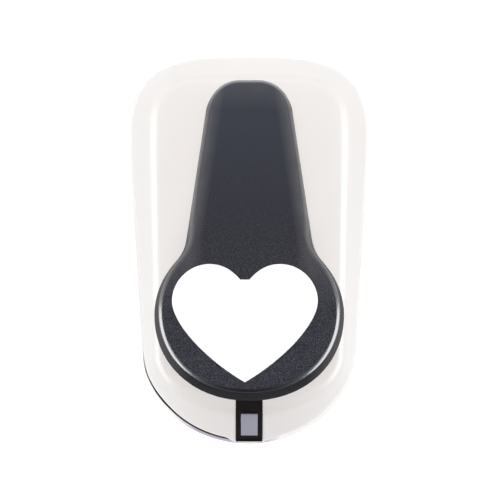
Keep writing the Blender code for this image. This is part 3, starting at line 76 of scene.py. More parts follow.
# Points along the straight side
SIDE_STOPS_Y = (THROAT_BACK_Y + THROAT_STEP, THROAT_BACK_Y, -11.652 * MM, -26.092 * MM)

# Heights
FOOT_STAND = 1.0 * MM
DECK_Z = 12.0 * MM
BASE_TOP_Z = 13.7 * MM
COVER_BOTTOM_Z = 14.0 * MM
SHOULDER_Z = 26.0 * MM
PLATEAU_Z = 40.0 * MM
WALL = 2.2 * MM
ROOF_Z = PLATEAU_Z - WALL
COVER_DRAFT = 0.5 * MM
COVER_FOOT_INSET = 0.35 * MM
LIP_ROOM = 1.15 * MM
RIM_INSET = 1.9 * MM
RIM_DROP = 1.9 * MM
BASE_LIP = 0.6 * MM
DIE_Y = -23.0 * MM

# Lever. Its own sizes are measured from the pin, with the lever level.
REST_PITCH = math.radians(8.0)
PIN_Y = 50.0 * MM
PIN_Z = 44.5 * MM
SKIRT_Z = -3.7 * MM
HEAD_Y = -73.1 * MM
LEVER_TO_WORLD = Matrix.Translation((0.0, PIN_Y, PIN_Z)) @ Matrix.Rotation(-REST_PITCH, 4, "X")
LEVER_UP = (0.0, math.sin(REST_PITCH), math.cos(REST_PITCH))
TAIL_TIP_Y = 10.7 * MM
TAIL_HALF_WIDTH = 13.85 * MM
TAIL_CORNER = 12.2 * MM
NECK_Y = -45.0 * MM
NECK_HALF_WIDTH = 22.15 * MM

# Catch under the head, and the slot that it passes
CATCH_FRONT_Y = -50.7 * MM
NOSE_REACH = 1.6 * MM
SLOT_FRONT_Y = CATCH_FRONT_Y - NOSE_REACH - 0.8 * MM

# Slope that carries the lock
SLOPE_TOP_Y = FRONT_CENTRE_Y - PLATEAU_FRONT_REACH
SLOPE_RUN = FRONT_REACH - COVER_DRAFT - PLATEAU_FRONT_REACH
SLOPE_ANGLE = math.atan2(PLATEAU_Z - SHOULDER_Z, SLOPE_RUN)
SLOPE_TO_WORLD = Matrix.Translation((0.0, SLOPE_TOP_Y, PLATEAU_Z)) @ Matrix.Rotation(
    SLOPE_ANGLE, 4, "X"
)


# Outlines


def quarter(half_width, reach, fullness, steps=QUARTER_STEPS):
    points = []
    for step in range(steps + 1):
        angle = math.pi / 2 * step / steps
        x = half_width * max(math.sin(angle), 0.0) ** (2 / fullness)
        y = reach * max(math.cos(angle), 0.0) ** (2 / fullness)
        points.append((x, y))
    return points


def closed(half):
    return list(half) + [(-x, y) for x, y in reversed(half) if x > TINY]


def egg(sizes, inset, rear_fullness):
    """A squarish rear and a round front with straight sides between, clockwise from the rear."""
    rear_width, front_width, rear_reach, front_reach = (size - inset for size in sizes)
    rear = quarter(rear_width, rear_reach, rear_fullness)
    half = [(x, REAR_CENTRE_Y + y) for x, y in rear]
    for y in SIDE_STOPS_Y:
        share = (REAR_CENTRE_Y - y) / (REAR_CENTRE_Y - FRONT_CENTRE_Y)
        half.append((rear_width + (front_width - rear_width) * share, y))
    front = quarter(front_width, front_reach, FRONT_FULLNESS)
    half += [(x, FRONT_CENTRE_Y - y) for x, y in reversed(front)]
    return closed(half)


def housing(inset):
    return egg(HOUSING, inset, HOUSING_FULLNESS)


def plateau(inset):
    return egg(PLATEAU, inset, PLATEAU_FULLNESS)


def bezier(p0, p1, p2, p3, steps):
    points = []
    for step in range(1, steps + 1):
        t = step / steps
        weights = ((1 - t) ** 3, 3 * t * (1 - t) ** 2, 3 * t * t * (1 - t), t**3)
        weighted = list(zip(weights, (p0, p1, p2, p3)))
        points.append(tuple(sum(w * p[axis] for w, p in weighted) for axis in (0, 1)))
    return points


def normals(ring):
    """Outward unit normals of a clockwise ring, with the mitre's stretch."""
    found = []
    count = len(ring)
    for index, here in enumerate(ring):
        before = ring[index - 1]
        after = ring[(index + 1) % count]
        first = edge_normal(before, here)
        second = edge_normal(here, after)
        mean = (first[0] + second[0], first[1] + second[1])
        length = math.hypot(*mean)
        unit = (mean[0] / length, mean[1] / length)
        stretch = 1 / max(unit[0] * first[0] + unit[1] * first[1], 0.5)
        found.append((unit[0] * stretch, unit[1] * stretch))
    return found


def edge_normal(start, end):
    run = (end[0] - start[0], end[1] - start[1])
    length = math.hypot(*run)
    return (-run[1] / length, run[0] / length)


def offset(ring, distance):
    """Move a clockwise ring outwards by a distance, or by a function of each point."""
    moved = []
    for (x, y), (nx, ny) in zip(ring, normals(ring)):
        reach = distance(x, y) if callable(distance) else distance
        moved.append((x + nx * reach, y + ny * reach))
    return moved


HEART_WIDTH = 51.2 * MM
HEART_HEIGHT = 41.7 * MM
HEART_STEPS = 26
# The right half's curves from the notch to the tip, as shares of half the width and height
HEART_SHARES = (
    ((0.063, 0.736), (0.193, 0.925), (0.331, 1.0), (0.483, 1.0)),
    ((0.483, 1.0), (0.772, 1.0), (1.0, 0.702), (1.0, 0.377)),
    ((1.0, 0.377), (1.0, 0.0), (0.548, -0.606), (0.0, -1.0)),
)


def heart(grow, centre):
    half = [HEART_SHARES[0][0]]
    for curve in HEART_SHARES:
        half += bezier(*curve, HEART_STEPS)
    half = [(x * HEART_WIDTH / 2, y * HEART_HEIGHT / 2) for x, y in half]
    ring = offset(closed(half), grow)
    return [(x + centre[0], y + centre[1]) for x, y in ring]


# Meshes

TURN_STEPS = 48
# The middle of a quarter round lies this share of its radius inside both faces
ROUND_MIDDLE = 0.3


def link(name, data):
    obj = bpy.data.objects.new(name, data)
    bpy.context.scene.collection.objects.link(obj)
    return obj


def add_object(name, shape, matrix=None):
    mesh = bpy.data.meshes.new(name)
    if matrix:
        bmesh.ops.transform(shape, matrix=matrix, verts=shape.verts)
    shape.normal_update()
    bmesh.ops.recalc_face_normals(shape, faces=shape.faces)
    shape.to_mesh(mesh)
    shape.free()
    return link(name, mesh)


def loft(name, rings):
    """A closed solid through rings of points with the same count, capped across at both ends."""
    shape = bmesh.new()
    levels = tube(shape, rings)
    for level in (levels[0], levels[-1]):
        cap(shape, level)
    return add_object(name, shape)


def tube(shape, rings):
    """Join rings of points with the same count, and return their vertices."""
    levels = [[shape.verts.new(point) for point in ring] for ring in rings]
    join_levels(shape, levels)
    return levels


def join_levels(shape, levels):
    for lower, upper in zip(levels, levels[1:]):
        for index in range(len(lower)):
            after = (index + 1) % len(lower)
            shape.faces.new((lower[index], lower[after], upper[after], upper[index]))


def cap(shape, level):
    """Close a mirrored ring with strips from its right side to its left side."""
    left = [vert for vert in level if vert.co.x < -TINY]
    rungs = []
    for vert in level[: len(level) - len(left)]:
        partner = vert if vert.co.x < TINY else left.pop()
        rungs.append((vert, partner))
    for (right, across), (next_right, next_across) in zip(rungs, rungs[1:]):
        corners = [right, next_right]
        corners += [vert for vert in (next_across, across) if vert not in corners]
        shape.faces.new(corners)


def at(outline, z):
    return [(x, y, z(x, y) if callable(z) else z) for x, y in outline]


def prism(name, outline, low, high):
    return loft(name, [at(outline, low), at(outline, high)])


def turned(name, profile, centre, steps=TURN_STEPS, matrix=None):
    """A solid of revolution about Z through a centre, from a profile of (radius, z)."""
    shape = bmesh.new()
    levels = []
    for radius, z in profile:
        if radius < TINY:
            levels.append([shape.verts.new((centre[0], centre[1], z))])
            continue
        level = []
        for step in range(steps):
            angle = 2 * math.pi * step / steps
            x = centre[0] + radius * math.cos(angle)
            level.append(shape.verts.new((x, centre[1] + radius * math.sin(angle), z)))
        levels.append(level)
    for lower, upper in zip(levels, levels[1:]):
        for step in range(steps):
            after = (step + 1) % steps
            if len(lower) == 1:
                shape.faces.new((lower[0], upper[after], upper[step]))
            elif len(upper) == 1:
                shape.faces.new((lower[step], lower[after], upper[0]))
            else:
                shape.faces.new((lower[step], lower[after], upper[after], upper[step]))
    return add_object(name, shape, matrix)


def cylinder(name, radius, span, centre=(0.0, 0.0), steps=TURN_STEPS, matrix=None):
    low, high = span
    profile = [(0.0, low), (radius, low), (radius, high), (0.0, high)]
    return turned(name, profile, centre, steps, matrix)


def box(name, low, high, matrix=None):
    shape = bmesh.new()
    bmesh.ops.create_cube(shape, size=1.0)
    for vert in shape.verts:
        for axis in range(3):
            middle = (low[axis] + high[axis]) / 2
            vert.co[axis] = middle + vert.co[axis] * (high[axis] - low[axis])
    return add_object(name, shape, matrix)


def middle_box(name, half_width, run, span, matrix=None):
    """A box about the middle line, from its run along Y and its span of heights."""
    low, high = zip(run, span)
    return box(name, (-half_width, *low), (half_width, *high), matrix)


def side_prism(name, ring, half_width, x=0.0):
    """An outline of (y, z) points, as thick as twice the half width along X."""
    shape = bmesh.new()
    walls = []
    for side in (-1.0, 1.0):
        walls.append([shape.verts.new((x + side * half_width, y, z)) for y, z in ring])
    shape.faces.new(walls[0])
    shape.faces.new(list(reversed(walls[1])))
    join_levels(shape, walls)
    return add_object(name, shape)


def combine(obj, tool, operation="DIFFERENCE"):
    """Cut or join with another solid, which is then removed."""
    modifier = obj.modifiers.new("combine", "BOOLEAN")
    modifier.operation = operation
    modifier.object = tool
    modifier.solver = "EXACT"
    apply_modifiers(obj)
    bpy.data.objects.remove(tool, do_unlink=True)


def apply_modifiers(obj):
    graph = bpy.context.evaluated_depsgraph_get()
    graph.update()
    mesh = bpy.data.meshes.new_from_object(obj.evaluated_get(graph))
    obj.modifiers.clear()
    old = obj.data
    obj.data = mesh
    bpy.data.meshes.remove(old)


def bevel(obj, width, segments):
    modifier = obj.modifiers.new("bevel", "BEVEL")
    modifier.limit_method = "ANGLE"
    modifier.angle_limit = math.radians(30.0)
    modifier.width = width
    modifier.segments = segments
    apply_modifiers(obj)


def finish_piece(obj, name, material, body, node, angle=30.0):
    """Give a piece its look, its body and the node that it replaces."""
    obj.name = name
    obj.data.name = name
    obj.data.materials.clear()
    obj.data.materials.append(material)
    obj.data.shade_smooth()
    obj.data.set_sharp_from_angle(angle=math.radians(angle))
    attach(obj, body)
    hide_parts(node)


# Materials

# Where noise is lowest and highest, but for rare peaks
NOISE_RANGE = (0.3, 0.7)


class Nodes:
    """The nodes of a material or world. Their inputs are values or other nodes' outputs."""

    def __init__(self, owner):
        owner.use_nodes = True
        self.tree = owner.node_tree
        self.coords = self.tree.nodes.new("ShaderNodeTexCoord")

    def feed(self, socket, value):
        if isinstance(value, bpy.types.NodeSocket):
            self.tree.links.new(value, socket)
        else:
            socket.default_value = value

    def node(self, kind, inputs):
        node = self.tree.nodes.new(f"ShaderNode{kind}")
        for key, value in inputs.items():
            self.feed(node.inputs[key], value)
        return node

    def axis(self, name, space="Object"):
        return self.node("SeparateXYZ", {0: self.coords.outputs[space]}).outputs[name]

    def map(self, value, start, end, low=0.0, high=1.0):
        """A value that runs from low to high while another runs from start to end."""
        inputs = {"From Min": start, "From Max": end, "To Min": low, "To Max": high}
        return self.node("MapRange", {"Value": value, **inputs}).outputs["Result"]

    def calculate(self, operation, first, second=0.0):
        node = self.node("Math", {0: first, 1: second})
        node.operation = operation
        return node.outputs[0]

    def add(self, first, second):
        return self.calculate("ADD", first, second)

    def times(self, first, second):
        return self.calculate("MULTIPLY", first, second)


class Shader(Nodes):
    """A Principled material whose colour, roughness and bump come from noise and place.

    Both are in the object's own metres.
    """

    def __init__(self, name, roughness, specular=0.5, metallic=0.0):
        self.material = bpy.data.materials.new(name)
        super().__init__(self.material)
        self.shader = self.tree.nodes["Principled BSDF"]
        self.drive("Metallic", metallic)
        self.drive("Roughness", roughness)
        self.drive("Specular IOR Level", specular)

    def drive(self, name, value):
        self.feed(self.shader.inputs[name], value)

    def noise(self, scale, detail=2.0, stretch=None, roughness=0.5):
        source = self.coords.outputs["Object"]
        if stretch:
            source = self.node("Mapping", {"Vector": source, "Scale": stretch}).outputs["Vector"]
        inputs = {"Vector": source, "Scale": scale, "Detail": detail, "Roughness": roughness}
        return self.node("TexNoise", inputs).outputs["Fac"]

    def patches(self, scale, detail, low=0.0, high=1.0):
        """Noise that runs all the way from low to high."""
        return self.map(self.noise(scale, detail), *NOISE_RANGE, low, high)

    def mix(self, factor, first, second):
        node = self.node("Mix", {"Factor": factor})
        node.data_type = "RGBA"
        for key, value in (("A", first), ("B", second)):
            socket = [s for s in node.inputs if s.name == key and s.type == "RGBA"][0]
            self.feed(socket, (*value, 1.0) if isinstance(value, tuple) else value)
        return [s for s in node.outputs if s.type == "RGBA"][0]

    def bump(self, height, distance, strength):
        node = self.node("Bump", {"Height": height, "Distance": distance, "Strength": strength})
        self.drive("Normal", node.outputs["Normal"])

    def rise(self, up):
        """How far the surface faces a direction: 1 straight towards it, 0 square to it."""
        node = self.node("VectorMath", {0: self.coords.outputs["Normal"], 1: up})
        node.operation = "DOT_PRODUCT"
        return node.outputs["Value"]

    def distance_aside(self):
        return self.calculate("ABSOLUTE", self.axis("X"))

    def tail(self):
        """1 along the lever's tail, fading to 0 towards the head."""
        return self.map(self.axis("Y"), *TAIL_SHARE_ALONG)

    def wall_sheen(self):
        """Where the lever's walls get painted sheen: all along the tail and at both sides of the
        head.
        """
        return self.add(self.tail(), self.map(self.distance_aside(), *HEAD_SIDES))

    def side_gap(self):
        """How far a point of the tail lies inside the tail's straight tapered sides."""
        rear = PIN_Y + TAIL_TIP_Y
        neck = PIN_Y + NECK_Y
        half = self.map(self.axis("Y"), neck, rear, NECK_HALF_WIDTH, TAIL_HALF_WIDTH)
        return self.add(half, self.times(self.distance_aside(), -1.0))

    def moulded_white(self, light, dark, roughness):
        """The colour of white plastic with faint flow marks, and its orange peel."""
        self.drive("Roughness", self.patches(35.0, 0.0, *roughness))
        self.bump(self.noise(70.0, 0.0), 0.02 * MM, 0.5)
        return self.mix(self.map(self.noise(26.0, 3.0, (1.0, 0.45, 1.0)), 0.35, 0.65), dark, light)


# Ranges along Y, or aside, over which looks change. On the lever: the tail, where the edge and
# walls get painted sheen and the roughness changes, the head's sides, whose walls get painted
# sheen, the grain of tail and of head, the end with its painted sheen, its tip with a painted grey
# highlight, the head's shine.
TAIL_SHARE_ALONG = mm(-20.0, 15.0)
HEAD_SIDES = mm(20.0, 31.5)
TAIL_ALONG = mm(5.0, 45.0)
HEAD_ALONG = mm(24.0, -26.0)
END_ALONG = mm(50.0, 60.0)
TIP_ALONG = mm(50.0, 58.0)
SHINE_ALONG = mm(12.0, -12.0)
# How far inside the tail's sides the band of painted sheen ends and is full
SHEEN_BAND = mm(6.0, 1.0)
# The throat's lip round the front, painted lighter, the seam on its left with a painted shadow,
# and the lip's painted lavender shade between two sides
LIP_ALONG = mm(-36.0, -44.0)
SEAM_ACROSS = mm(-3.0, -7.0)
SHADE_RIGHT = mm(12.0, 4.0)
SHADE_LEFT = mm(-27.0, -19.0)
# Where the front slope beside the lock is painted with shade, along the slope and aside from it
PAINTED_SHADE_ALONG = mm(-49.0, -56.0)
PAINTED_SHADE_ASIDE = mm(32.0, 12.0)


def white_plastic(name, light, dark, coat=0.2, shade_and_sheen=None):
    """Glossy moulded plastic. The last colour is painted shade on the front slope beside the lock,
    in front of the lever's head.
    """
    m = Shader(name, 0.3)
    m.drive("Coat Weight", coat)
    m.drive("Coat Roughness", 0.12)
    colour = m.moulded_white(light, dark, (0.30, 0.33))
    if shade_and_sheen:
        # Painted shade on the front slope beside the lock, in front of the lever's head
        front = m.map(m.axis("Y"), *PAINTED_SHADE_ALONG)
        middle = m.map(m.distance_aside(), *PAINTED_SHADE_ASIDE)
        colour = m.mix(m.times(front, middle), colour, shade_and_sheen)
    m.drive("Base Color", colour)
    return m.material


# Painted shadow in the throat's seam, painted light on the lip's top, and painted lavender shade
# on the lip's middle
SEAM_SHADOW_COLOUR = (0.018, 0.014, 0.013)
LIT_LIP_COLOUR = (0.90, 0.89, 0.88)
SHADED_LIP_COLOUR = (0.50, 0.46, 0.56)
# The two edges of the painted shadow in the seam, as shares of the round front's half ellipse,
# squared. The inner one fades in. The outer one runs from the first to the second between two
# places along Y.
SEAM_INNER = (0.92, 0.93)
SEAM_OUTER = (1.016, 0.979)
SEAM_OUTER_RUN = mm(-44.0, -58.0)
SEAM_SOFTNESS = 0.004


def edged_white(name, light, dark):
    """The base's plastic, with a painted shadow in the throat's seam along the left of the round
    front, painted light on the lip's top round the front, and painted lavender shade on the lip's
    middle.
    """
    m = Shader(name, 0.3, 0.4)
    white = m.moulded_white(light, dark, (0.29, 0.33))
    across = m.times(m.axis("X"), 1 / FRONT_HALF_WIDTH)
    along = m.map(m.axis("Y"), FRONT_CENTRE_Y - FRONT_REACH, FRONT_CENTRE_Y, 1.0, 0.0)
    ellipse = m.add(m.times(across, across), m.times(along, along))
    deck = m.map(m.rise((0.0, 0.0, 1.0)), 0.1, 0.3)
    front = m.times(m.map(m.axis("Y"), *LIP_ALONG), deck)
    left = m.times(m.map(m.axis("X"), *SEAM_ACROSS), front)
    inner = m.map(ellipse, *SEAM_INNER)
    limit = m.map(m.axis("Y"), *SEAM_OUTER_RUN, -SEAM_OUTER[0], -SEAM_OUTER[1])
    within = m.map(m.add(ellipse, limit), -SEAM_SOFTNESS, SEAM_SOFTNESS, 1.0, 0.0)
    seam_shadow = m.times(m.times(within, inner), left)
    middle = m.times(m.map(m.axis("X"), *SHADE_RIGHT), front)
    middle = m.times(m.map(m.axis("X"), *SHADE_LEFT), middle)
    # Painted light on the lip's top, painted lavender shade on its middle, then the seam's painted
    # shadow
    painted_lip = m.mix(middle, m.mix(front, white, LIT_LIP_COLOUR), SHADED_LIP_COLOUR)
    m.drive("Base Color", m.mix(seam_shadow, painted_lip, SEAM_SHADOW_COLOUR))
    return m.material


# The lever's colours, as pairs of dark and light specks where they are grained. Some are painted
# light and shade, as marked below.
HEAD_GRAIN = ((0.0172, 0.0172, 0.0235), (0.062, 0.063, 0.079))
BODY_GRAIN = ((0.020, 0.0195, 0.026), (0.034, 0.033, 0.043))
TAIL_GRAIN = ((0.0330, 0.0360, 0.0495), (0.0375, 0.0410, 0.0555))
# Painted sheen: a grey that replaces light reflected on the tail's top and rounded edge
SHEEN_GRAIN = ((0.094, 0.094, 0.102), (0.112, 0.112, 0.121))
WALL_GRAIN = ((0.011, 0.0105, 0.0145), (0.018, 0.0175, 0.024))
# Painted sheen on the walls' grain along the tail and at the head's sides
WALL_SHEEN_GRAIN = ((0.068, 0.064, 0.070), (0.088, 0.083, 0.090))
# The walls' colour, painted darker than the top as painted shade, and the walls' painted sheen
WALL_DARK = (0.013, 0.0125, 0.017)
WALL_SHEEN = (0.070, 0.067, 0.074)
# Painted grey highlight on the rim of the tail's tip
TIP_HIGHLIGHT_GREY = (0.26, 0.26, 0.27)
# How far the lever's surface rises where a look begins and where it is full: the painted sheen of
# the tail's edge, the painted grey highlight of the tip, the painted shade round the top, the
# walls, the polish of the edge, its shine from the wall and from the top, and the relief of the
# grain
EDGE_RISE = (0.98, 0.75)
TIP_RISE = (0.94, 0.82)
SHADE_RISE = (0.96, 0.86)
STEEP_RISE = (0.5, 0.1)
POLISH_RISE = (0.99, 0.9)
SHINE_LOW_RISE = (0.5, 0.7)
SHINE_HIGH_RISE = (0.93, 0.975)
RELIEF_RISE = (0.9, 0.99)


def grained_plastic():
    """Charcoal plastic with a fine spark-eroded grain, smoother and bluer towards the tail.

    The rounded edges are smoother. The tail's rounded edge is painted grey, and the top is painted
    lighter along the tail's sides and at its end, as painted sheen. The tip's rim is painted as a
    grey highlight, and the top is painted darker towards the walls, as painted shade.
    """
    m = Shader("charcoal_grain", 0.5)
    grain = m.noise(2600.0, 2.0, None, 0.7)
    coarse = m.noise(3000.0, 0.0)
    along = m.axis("Y")
    tail = m.map(along, *TAIL_ALONG)
    head = m.map(along, *HEAD_ALONG)
    speck = m.map(grain, 0.42, 0.66)
    rough_head = m.mix(m.map(coarse, 0.44, 0.68), *HEAD_GRAIN)
    top = m.mix(head, m.mix(speck, *BODY_GRAIN), rough_head)
    top = m.mix(tail, top, m.mix(speck, *TAIL_GRAIN))

    # Painted sheen, in grey, over the tail's top and rounded edge
    sheen_grey = m.mix(m.patches(220.0, 3.0), *SHEEN_GRAIN)
    shade_and_sheen = m.tail()
    # Painted sheen in bands along the tail's sides and at its end
    sides = m.times(m.map(m.side_gap(), *SHEEN_BAND, 0.0, 0.8), shade_and_sheen)
    painted_sheen = m.add(sides, m.map(along, *END_ALONG, 0.0, 0.45))

    rise = m.rise(LEVER_UP)
    # Painted sheen on the tail's rounded edge, a painted grey highlight on the tip's rim, and
    # painted shade where the top turns down to the walls
    edge = m.times(m.map(rise, *EDGE_RISE), shade_and_sheen)
    tip = m.times(m.map(rise, *TIP_RISE), m.map(along, *TIP_ALONG))
    shaded = m.mix(m.map(rise, *SHADE_RISE), m.mix(painted_sheen, top, sheen_grey), WALL_DARK)
    upper = m.mix(tip, m.mix(edge, shaded, sheen_grey), TIP_HIGHLIGHT_GREY)
    wall = m.mix(m.wall_sheen(), WALL_DARK, WALL_SHEEN)
    m.drive("Base Color", m.mix(m.map(rise, *STEEP_RISE), upper, wall))

    polished = m.map(rise, *POLISH_RISE, 0.5, 0.25)
    m.drive("Roughness", m.add(polished, m.times(shade_and_sheen, 0.2)))
    polish = m.times(m.map(rise, *SHINE_LOW_RISE), m.map(rise, *SHINE_HIGH_RISE, 1.0, 0.0))
    bright = m.times(polish, m.map(along, *SHINE_ALONG, 0.12, 1.0))
    m.drive("Specular IOR Level", m.map(bright, 0.0, 1.0, 0.25, 1.0))
    m.drive("Coat Weight", bright)
    m.drive("Coat IOR", 2.1)
    m.drive("Coat Roughness", 0.22)
    relief = m.map(rise, *RELIEF_RISE, 0.15, 1.0)
    m.bump(m.times(m.add(grain, m.times(coarse, 0.6)), relief), 0.03 * MM, 0.5)
    return m.material


def matt_wall_plastic():
    """The lever's drafted walls, which keep a dull eroded finish. Their colour is painted darker
    than the top's, as painted shade, with painted sheen along the tail and at the head's sides.
    """
    m = Shader("charcoal_wall", 0.8)
    grain = m.noise(1900.0, 2.0, None, 0.7)
    drawn = m.noise(500.0, 2.0, (1.0, 1.0, 0.3))
    mixed = m.map(m.add(grain, m.times(drawn, 0.5)), 0.5, 1.0)
    # Painted sheen on the walls along the tail and at the head's sides
    painted_sheen = m.mix(mixed, *WALL_SHEEN_GRAIN)
    m.drive("Base Color", m.mix(m.wall_sheen(), m.mix(mixed, *WALL_GRAIN), painted_sheen))
    polished = m.tail()
    m.drive("Roughness", m.add(m.map(grain, *NOISE_RANGE, 0.72, 0.88), m.times(polished, -0.35)))
    m.drive("Specular IOR Level", m.map(polished, 0.0, 1.0, 0.05, 0.42))
    m.bump(grain, 0.025 * MM, 0.5)
    return m.material


def dark_plastic(name, colour, spread, roughness, specular=0.4):
    m = Shader(name, roughness, specular)
    lighter = tuple(min(c * (1 + spread), 1.0) for c in colour)
    m.drive("Base Color", m.mix(m.patches(160.0, 3.0), colour, lighter))
    m.drive("Roughness", m.patches(700.0, 2.0, roughness - 0.06, roughness + 0.06))
    m.bump(m.noise(1800.0), 0.01 * MM, 0.4)
    return m.material


def metal(name, colour, roughness, stretch):
    """Metal with drawn or ground lines along one direction and a little tarnish."""
    m = Shader(name, roughness, 0.5, 1.0)
    lines = m.noise(700.0, 3.0, stretch)
    darker = tuple(c * 0.72 for c in colour)
    m.drive("Base Color", m.mix(m.map(m.noise(60.0, 4.0), 0.35, 0.7), colour, darker))
    m.drive("Roughness", m.map(lines, *NOISE_RANGE, roughness - 0.08, roughness + 0.12))
    m.bump(lines, 0.01 * MM, 0.5)
    return m.material


def rubber():
    m = Shader("rubber", 0.75, 0.3)
    m.drive("Base Color", m.mix(m.patches(300.0, 3.0), (0.02,) * 3, (0.045,) * 3))
    m.drive("Roughness", m.patches(900.0, 2.0, 0.65, 0.85))
    m.bump(m.noise(1500.0, 3.0), 0.04 * MM, 0.6)
    return m.material


WHITE = white_plastic(
    "white_gloss",
    (0.825, 0.795, 0.775),
    (0.800, 0.770, 0.750),
    # Painted shade for the front slope beside the lock
    shade_and_sheen=(0.765, 0.737, 0.722),
)
INLAY = white_plastic("white_inlay", (0.97, 0.97, 0.97), (0.96, 0.96, 0.96), 0.1)
WHITE_BASE = edged_white("white_base", (0.83, 0.81, 0.80), (0.80, 0.78, 0.77))
WHITE_INSIDE = white_plastic("white_matt", (0.78, 0.76, 0.74), (0.75, 0.73, 0.71), 0.0)
CHARCOAL = grained_plastic()
CHARCOAL_WALL = matt_wall_plastic()
PLUNGER = dark_plastic("charcoal_smooth", (0.030, 0.031, 0.038), 0.3, 0.42)
BLACK = dark_plastic("black_plastic", (0.0108, 0.0095, 0.0093), 0.25, 0.6, 0.05)
GREY = dark_plastic("grey_plastic", (0.299, 0.305, 0.365), 0.06, 0.45, 0.25)
NYLON = dark_plastic("nylon", (0.62, 0.60, 0.55), 0.08, 0.45)
STEEL = metal("bright_steel", (0.60, 0.60, 0.61), 0.28, (1.0, 0.06, 1.0))
WIRE = metal("spring_wire", (0.52, 0.52, 0.53), 0.25, (1.0, 1.0, 0.2))
ZINC = metal("cast_zinc", (0.47, 0.48, 0.50), 0.42, (0.5, 1.0, 1.0))
RUBBER = rubber()

# Nodes that aren't steel, by the start of their names. What finer pieces replace isn't seen.
NODE_MATERIALS = {
    "bottom_cover": WHITE_INSIDE,
    "throat_plate": WHITE_INSIDE,
    "guide_plate": ZINC,
    "cutter": ZINC,
    "return_spring": WIRE,
    "hinge_bush": NYLON,
    "foot": RUBBER,
}
for name, node in NODES.items():
    found = [m for start, m in NODE_MATERIALS.items() if name.startswith(start)]
    node.data.materials.clear()
    node.data.materials.append(found[0] if found else STEEL)


# Housing

# The lip's room beside the lock: where it begins at the sides and along the front
LOCK_SIDE_START = 4.9 * MM
LOCK_SIDE_RUN = 4.0 * MM
LIP_START_Y = -42.0 * MM
LIP_RUN = 16.0 * MM
ROOF_INSET = 1.4 * MM
INNER_SHOULDER_DROP = 1.0 * MM
RIM_FLAT_INSET = 4.5 * MM
# Rounding of the cover's corners, from the inner shoulder round the foot to the plateau
COVER_ROUNDS = mm(0.0, 0.3, 0.35, 2.4, 1.4, 0.9)
COVER_ROUND_STEPS = 7
HOLE_RADIUS = 26.0 * MM
HOLE_ROUND = 0.6 * MM
OPENING_HALF_WIDTH = 11.2 * MM
OPENING_HALF_LENGTH = 5.3 * MM
# How far a cutting tool passes the faces that it cuts
PAST = 2.0 * MM
ROUND_STEPS = 160


def corner(before, here, after, reach, steps):
    """Points of a smooth corner between two lines that meet at a point."""
    start = here + (before - here).normalized() * reach
    end = here + (after - here).normalized() * reach
    points = []
    for step in range(steps + 1):
        t = step / steps
        points.append(start * (1 - t) ** 2 + here * 2 * t * (1 - t) + end * t * t)
    return points


def rounded_levels(outlines, reaches, steps):
    """Rings through level outlines whose inner corners are rounded by the given reaches."""
    columns = []
    for index in range(len(outlines[0])):
        path = [Vector(ring[index]) for ring in outlines]
        column = [path[0]]
        for before, here, after, reach in zip(path, path[1:], path[2:], reaches):
            column += corner(before, here, after, reach, steps) if reach else [here]
        column.append(path[-1])
        columns.append(column)
    return [list(level) for level in zip(*columns)]


def between(lower, upper, share):
    """A ring on the straight lines from one ring to another, at a share of the way."""
    return [Vector(low).lerp(Vector(high), share) for low, high in zip(lower, upper)]


def set_back(ring):
    """Draw the cover's wall in beside the lock, so that the base's lip shows in front of it."""

    def reach(x, y):
        beside = ease((abs(x) - LOCK_SIDE_START) / LOCK_SIDE_RUN)
        return -LIP_ROOM * beside * ease((LIP_START_Y - y) / LIP_RUN)

    return offset(ring, reach)


def make_cover():
    shoulder = at(set_back(housing(COVER_DRAFT)), SHOULDER_Z)
    rim_share = 1 - RIM_DROP / (PLATEAU_Z - SHOULDER_Z)
    rings = [
        at(plateau(ROOF_INSET), ROOF_Z),
        at(set_back(housing(COVER_DRAFT + WALL)), SHOULDER_Z - INNER_SHOULDER_DROP),
        at(set_back(housing(WALL)), COVER_BOTTOM_Z),
        at(set_back(housing(COVER_FOOT_INSET)), COVER_BOTTOM_Z),
        shoulder,
        between(shoulder, at(plateau(0.0), PLATEAU_Z), rim_share),
        at(plateau(RIM_INSET), PLATEAU_Z),
        at(plateau(RIM_FLAT_INSET), PLATEAU_Z),
    ]
    cover = loft("cover_moulding", rounded_levels(rings, COVER_ROUNDS, COVER_ROUND_STEPS))
    hole = [
        (0.0, ROOF_Z - PAST),
        (HOLE_RADIUS, ROOF_Z - PAST),
        (HOLE_RADIUS, PLATEAU_Z - HOLE_ROUND),
        (HOLE_RADIUS + ROUND_MIDDLE * HOLE_ROUND, PLATEAU_Z - ROUND_MIDDLE * HOLE_ROUND),
        (HOLE_RADIUS + HOLE_ROUND, PLATEAU_Z),
        (HOLE_RADIUS + HOLE_ROUND + PAST / 2, PLATEAU_Z + PAST / 2),
        (0.0, PLATEAU_Z + PAST / 2),
    ]
    combine(cover, turned("hole", hole, (0.0, DIE_Y), ROUND_STEPS))
    run = (PIN_Y - OPENING_HALF_LENGTH, PIN_Y + OPENING_HALF_LENGTH)
    combine(cover, middle_box("opening", OPENING_HALF_WIDTH, run, THROUGH_ROOF))
    combine(cover, lock_channel())
    cut_lock_slots(cover)
    finish_piece(cover, "cover_moulding", WHITE, "housing", "top_cover")


BASE_BOTTOM_INSET = 1.8 * MM
BASE_TOP_INSET = 3.0 * MM
BASE_ROUNDS = mm(1.0, 0.3)
BASE_ROUND_STEPS = 6
DECK_UNDERSIDE_Z = 10.0 * MM
POCKET_TONGUE_END_Y = 40.3 * MM
POCKET_RADIUS = 34.3 * MM
POCKET_HALF_WIDTH = 18.3 * MM
POCKET_HEIGHTS = mm(7.0, 16.0)
KEYHOLE_STEPS = 60


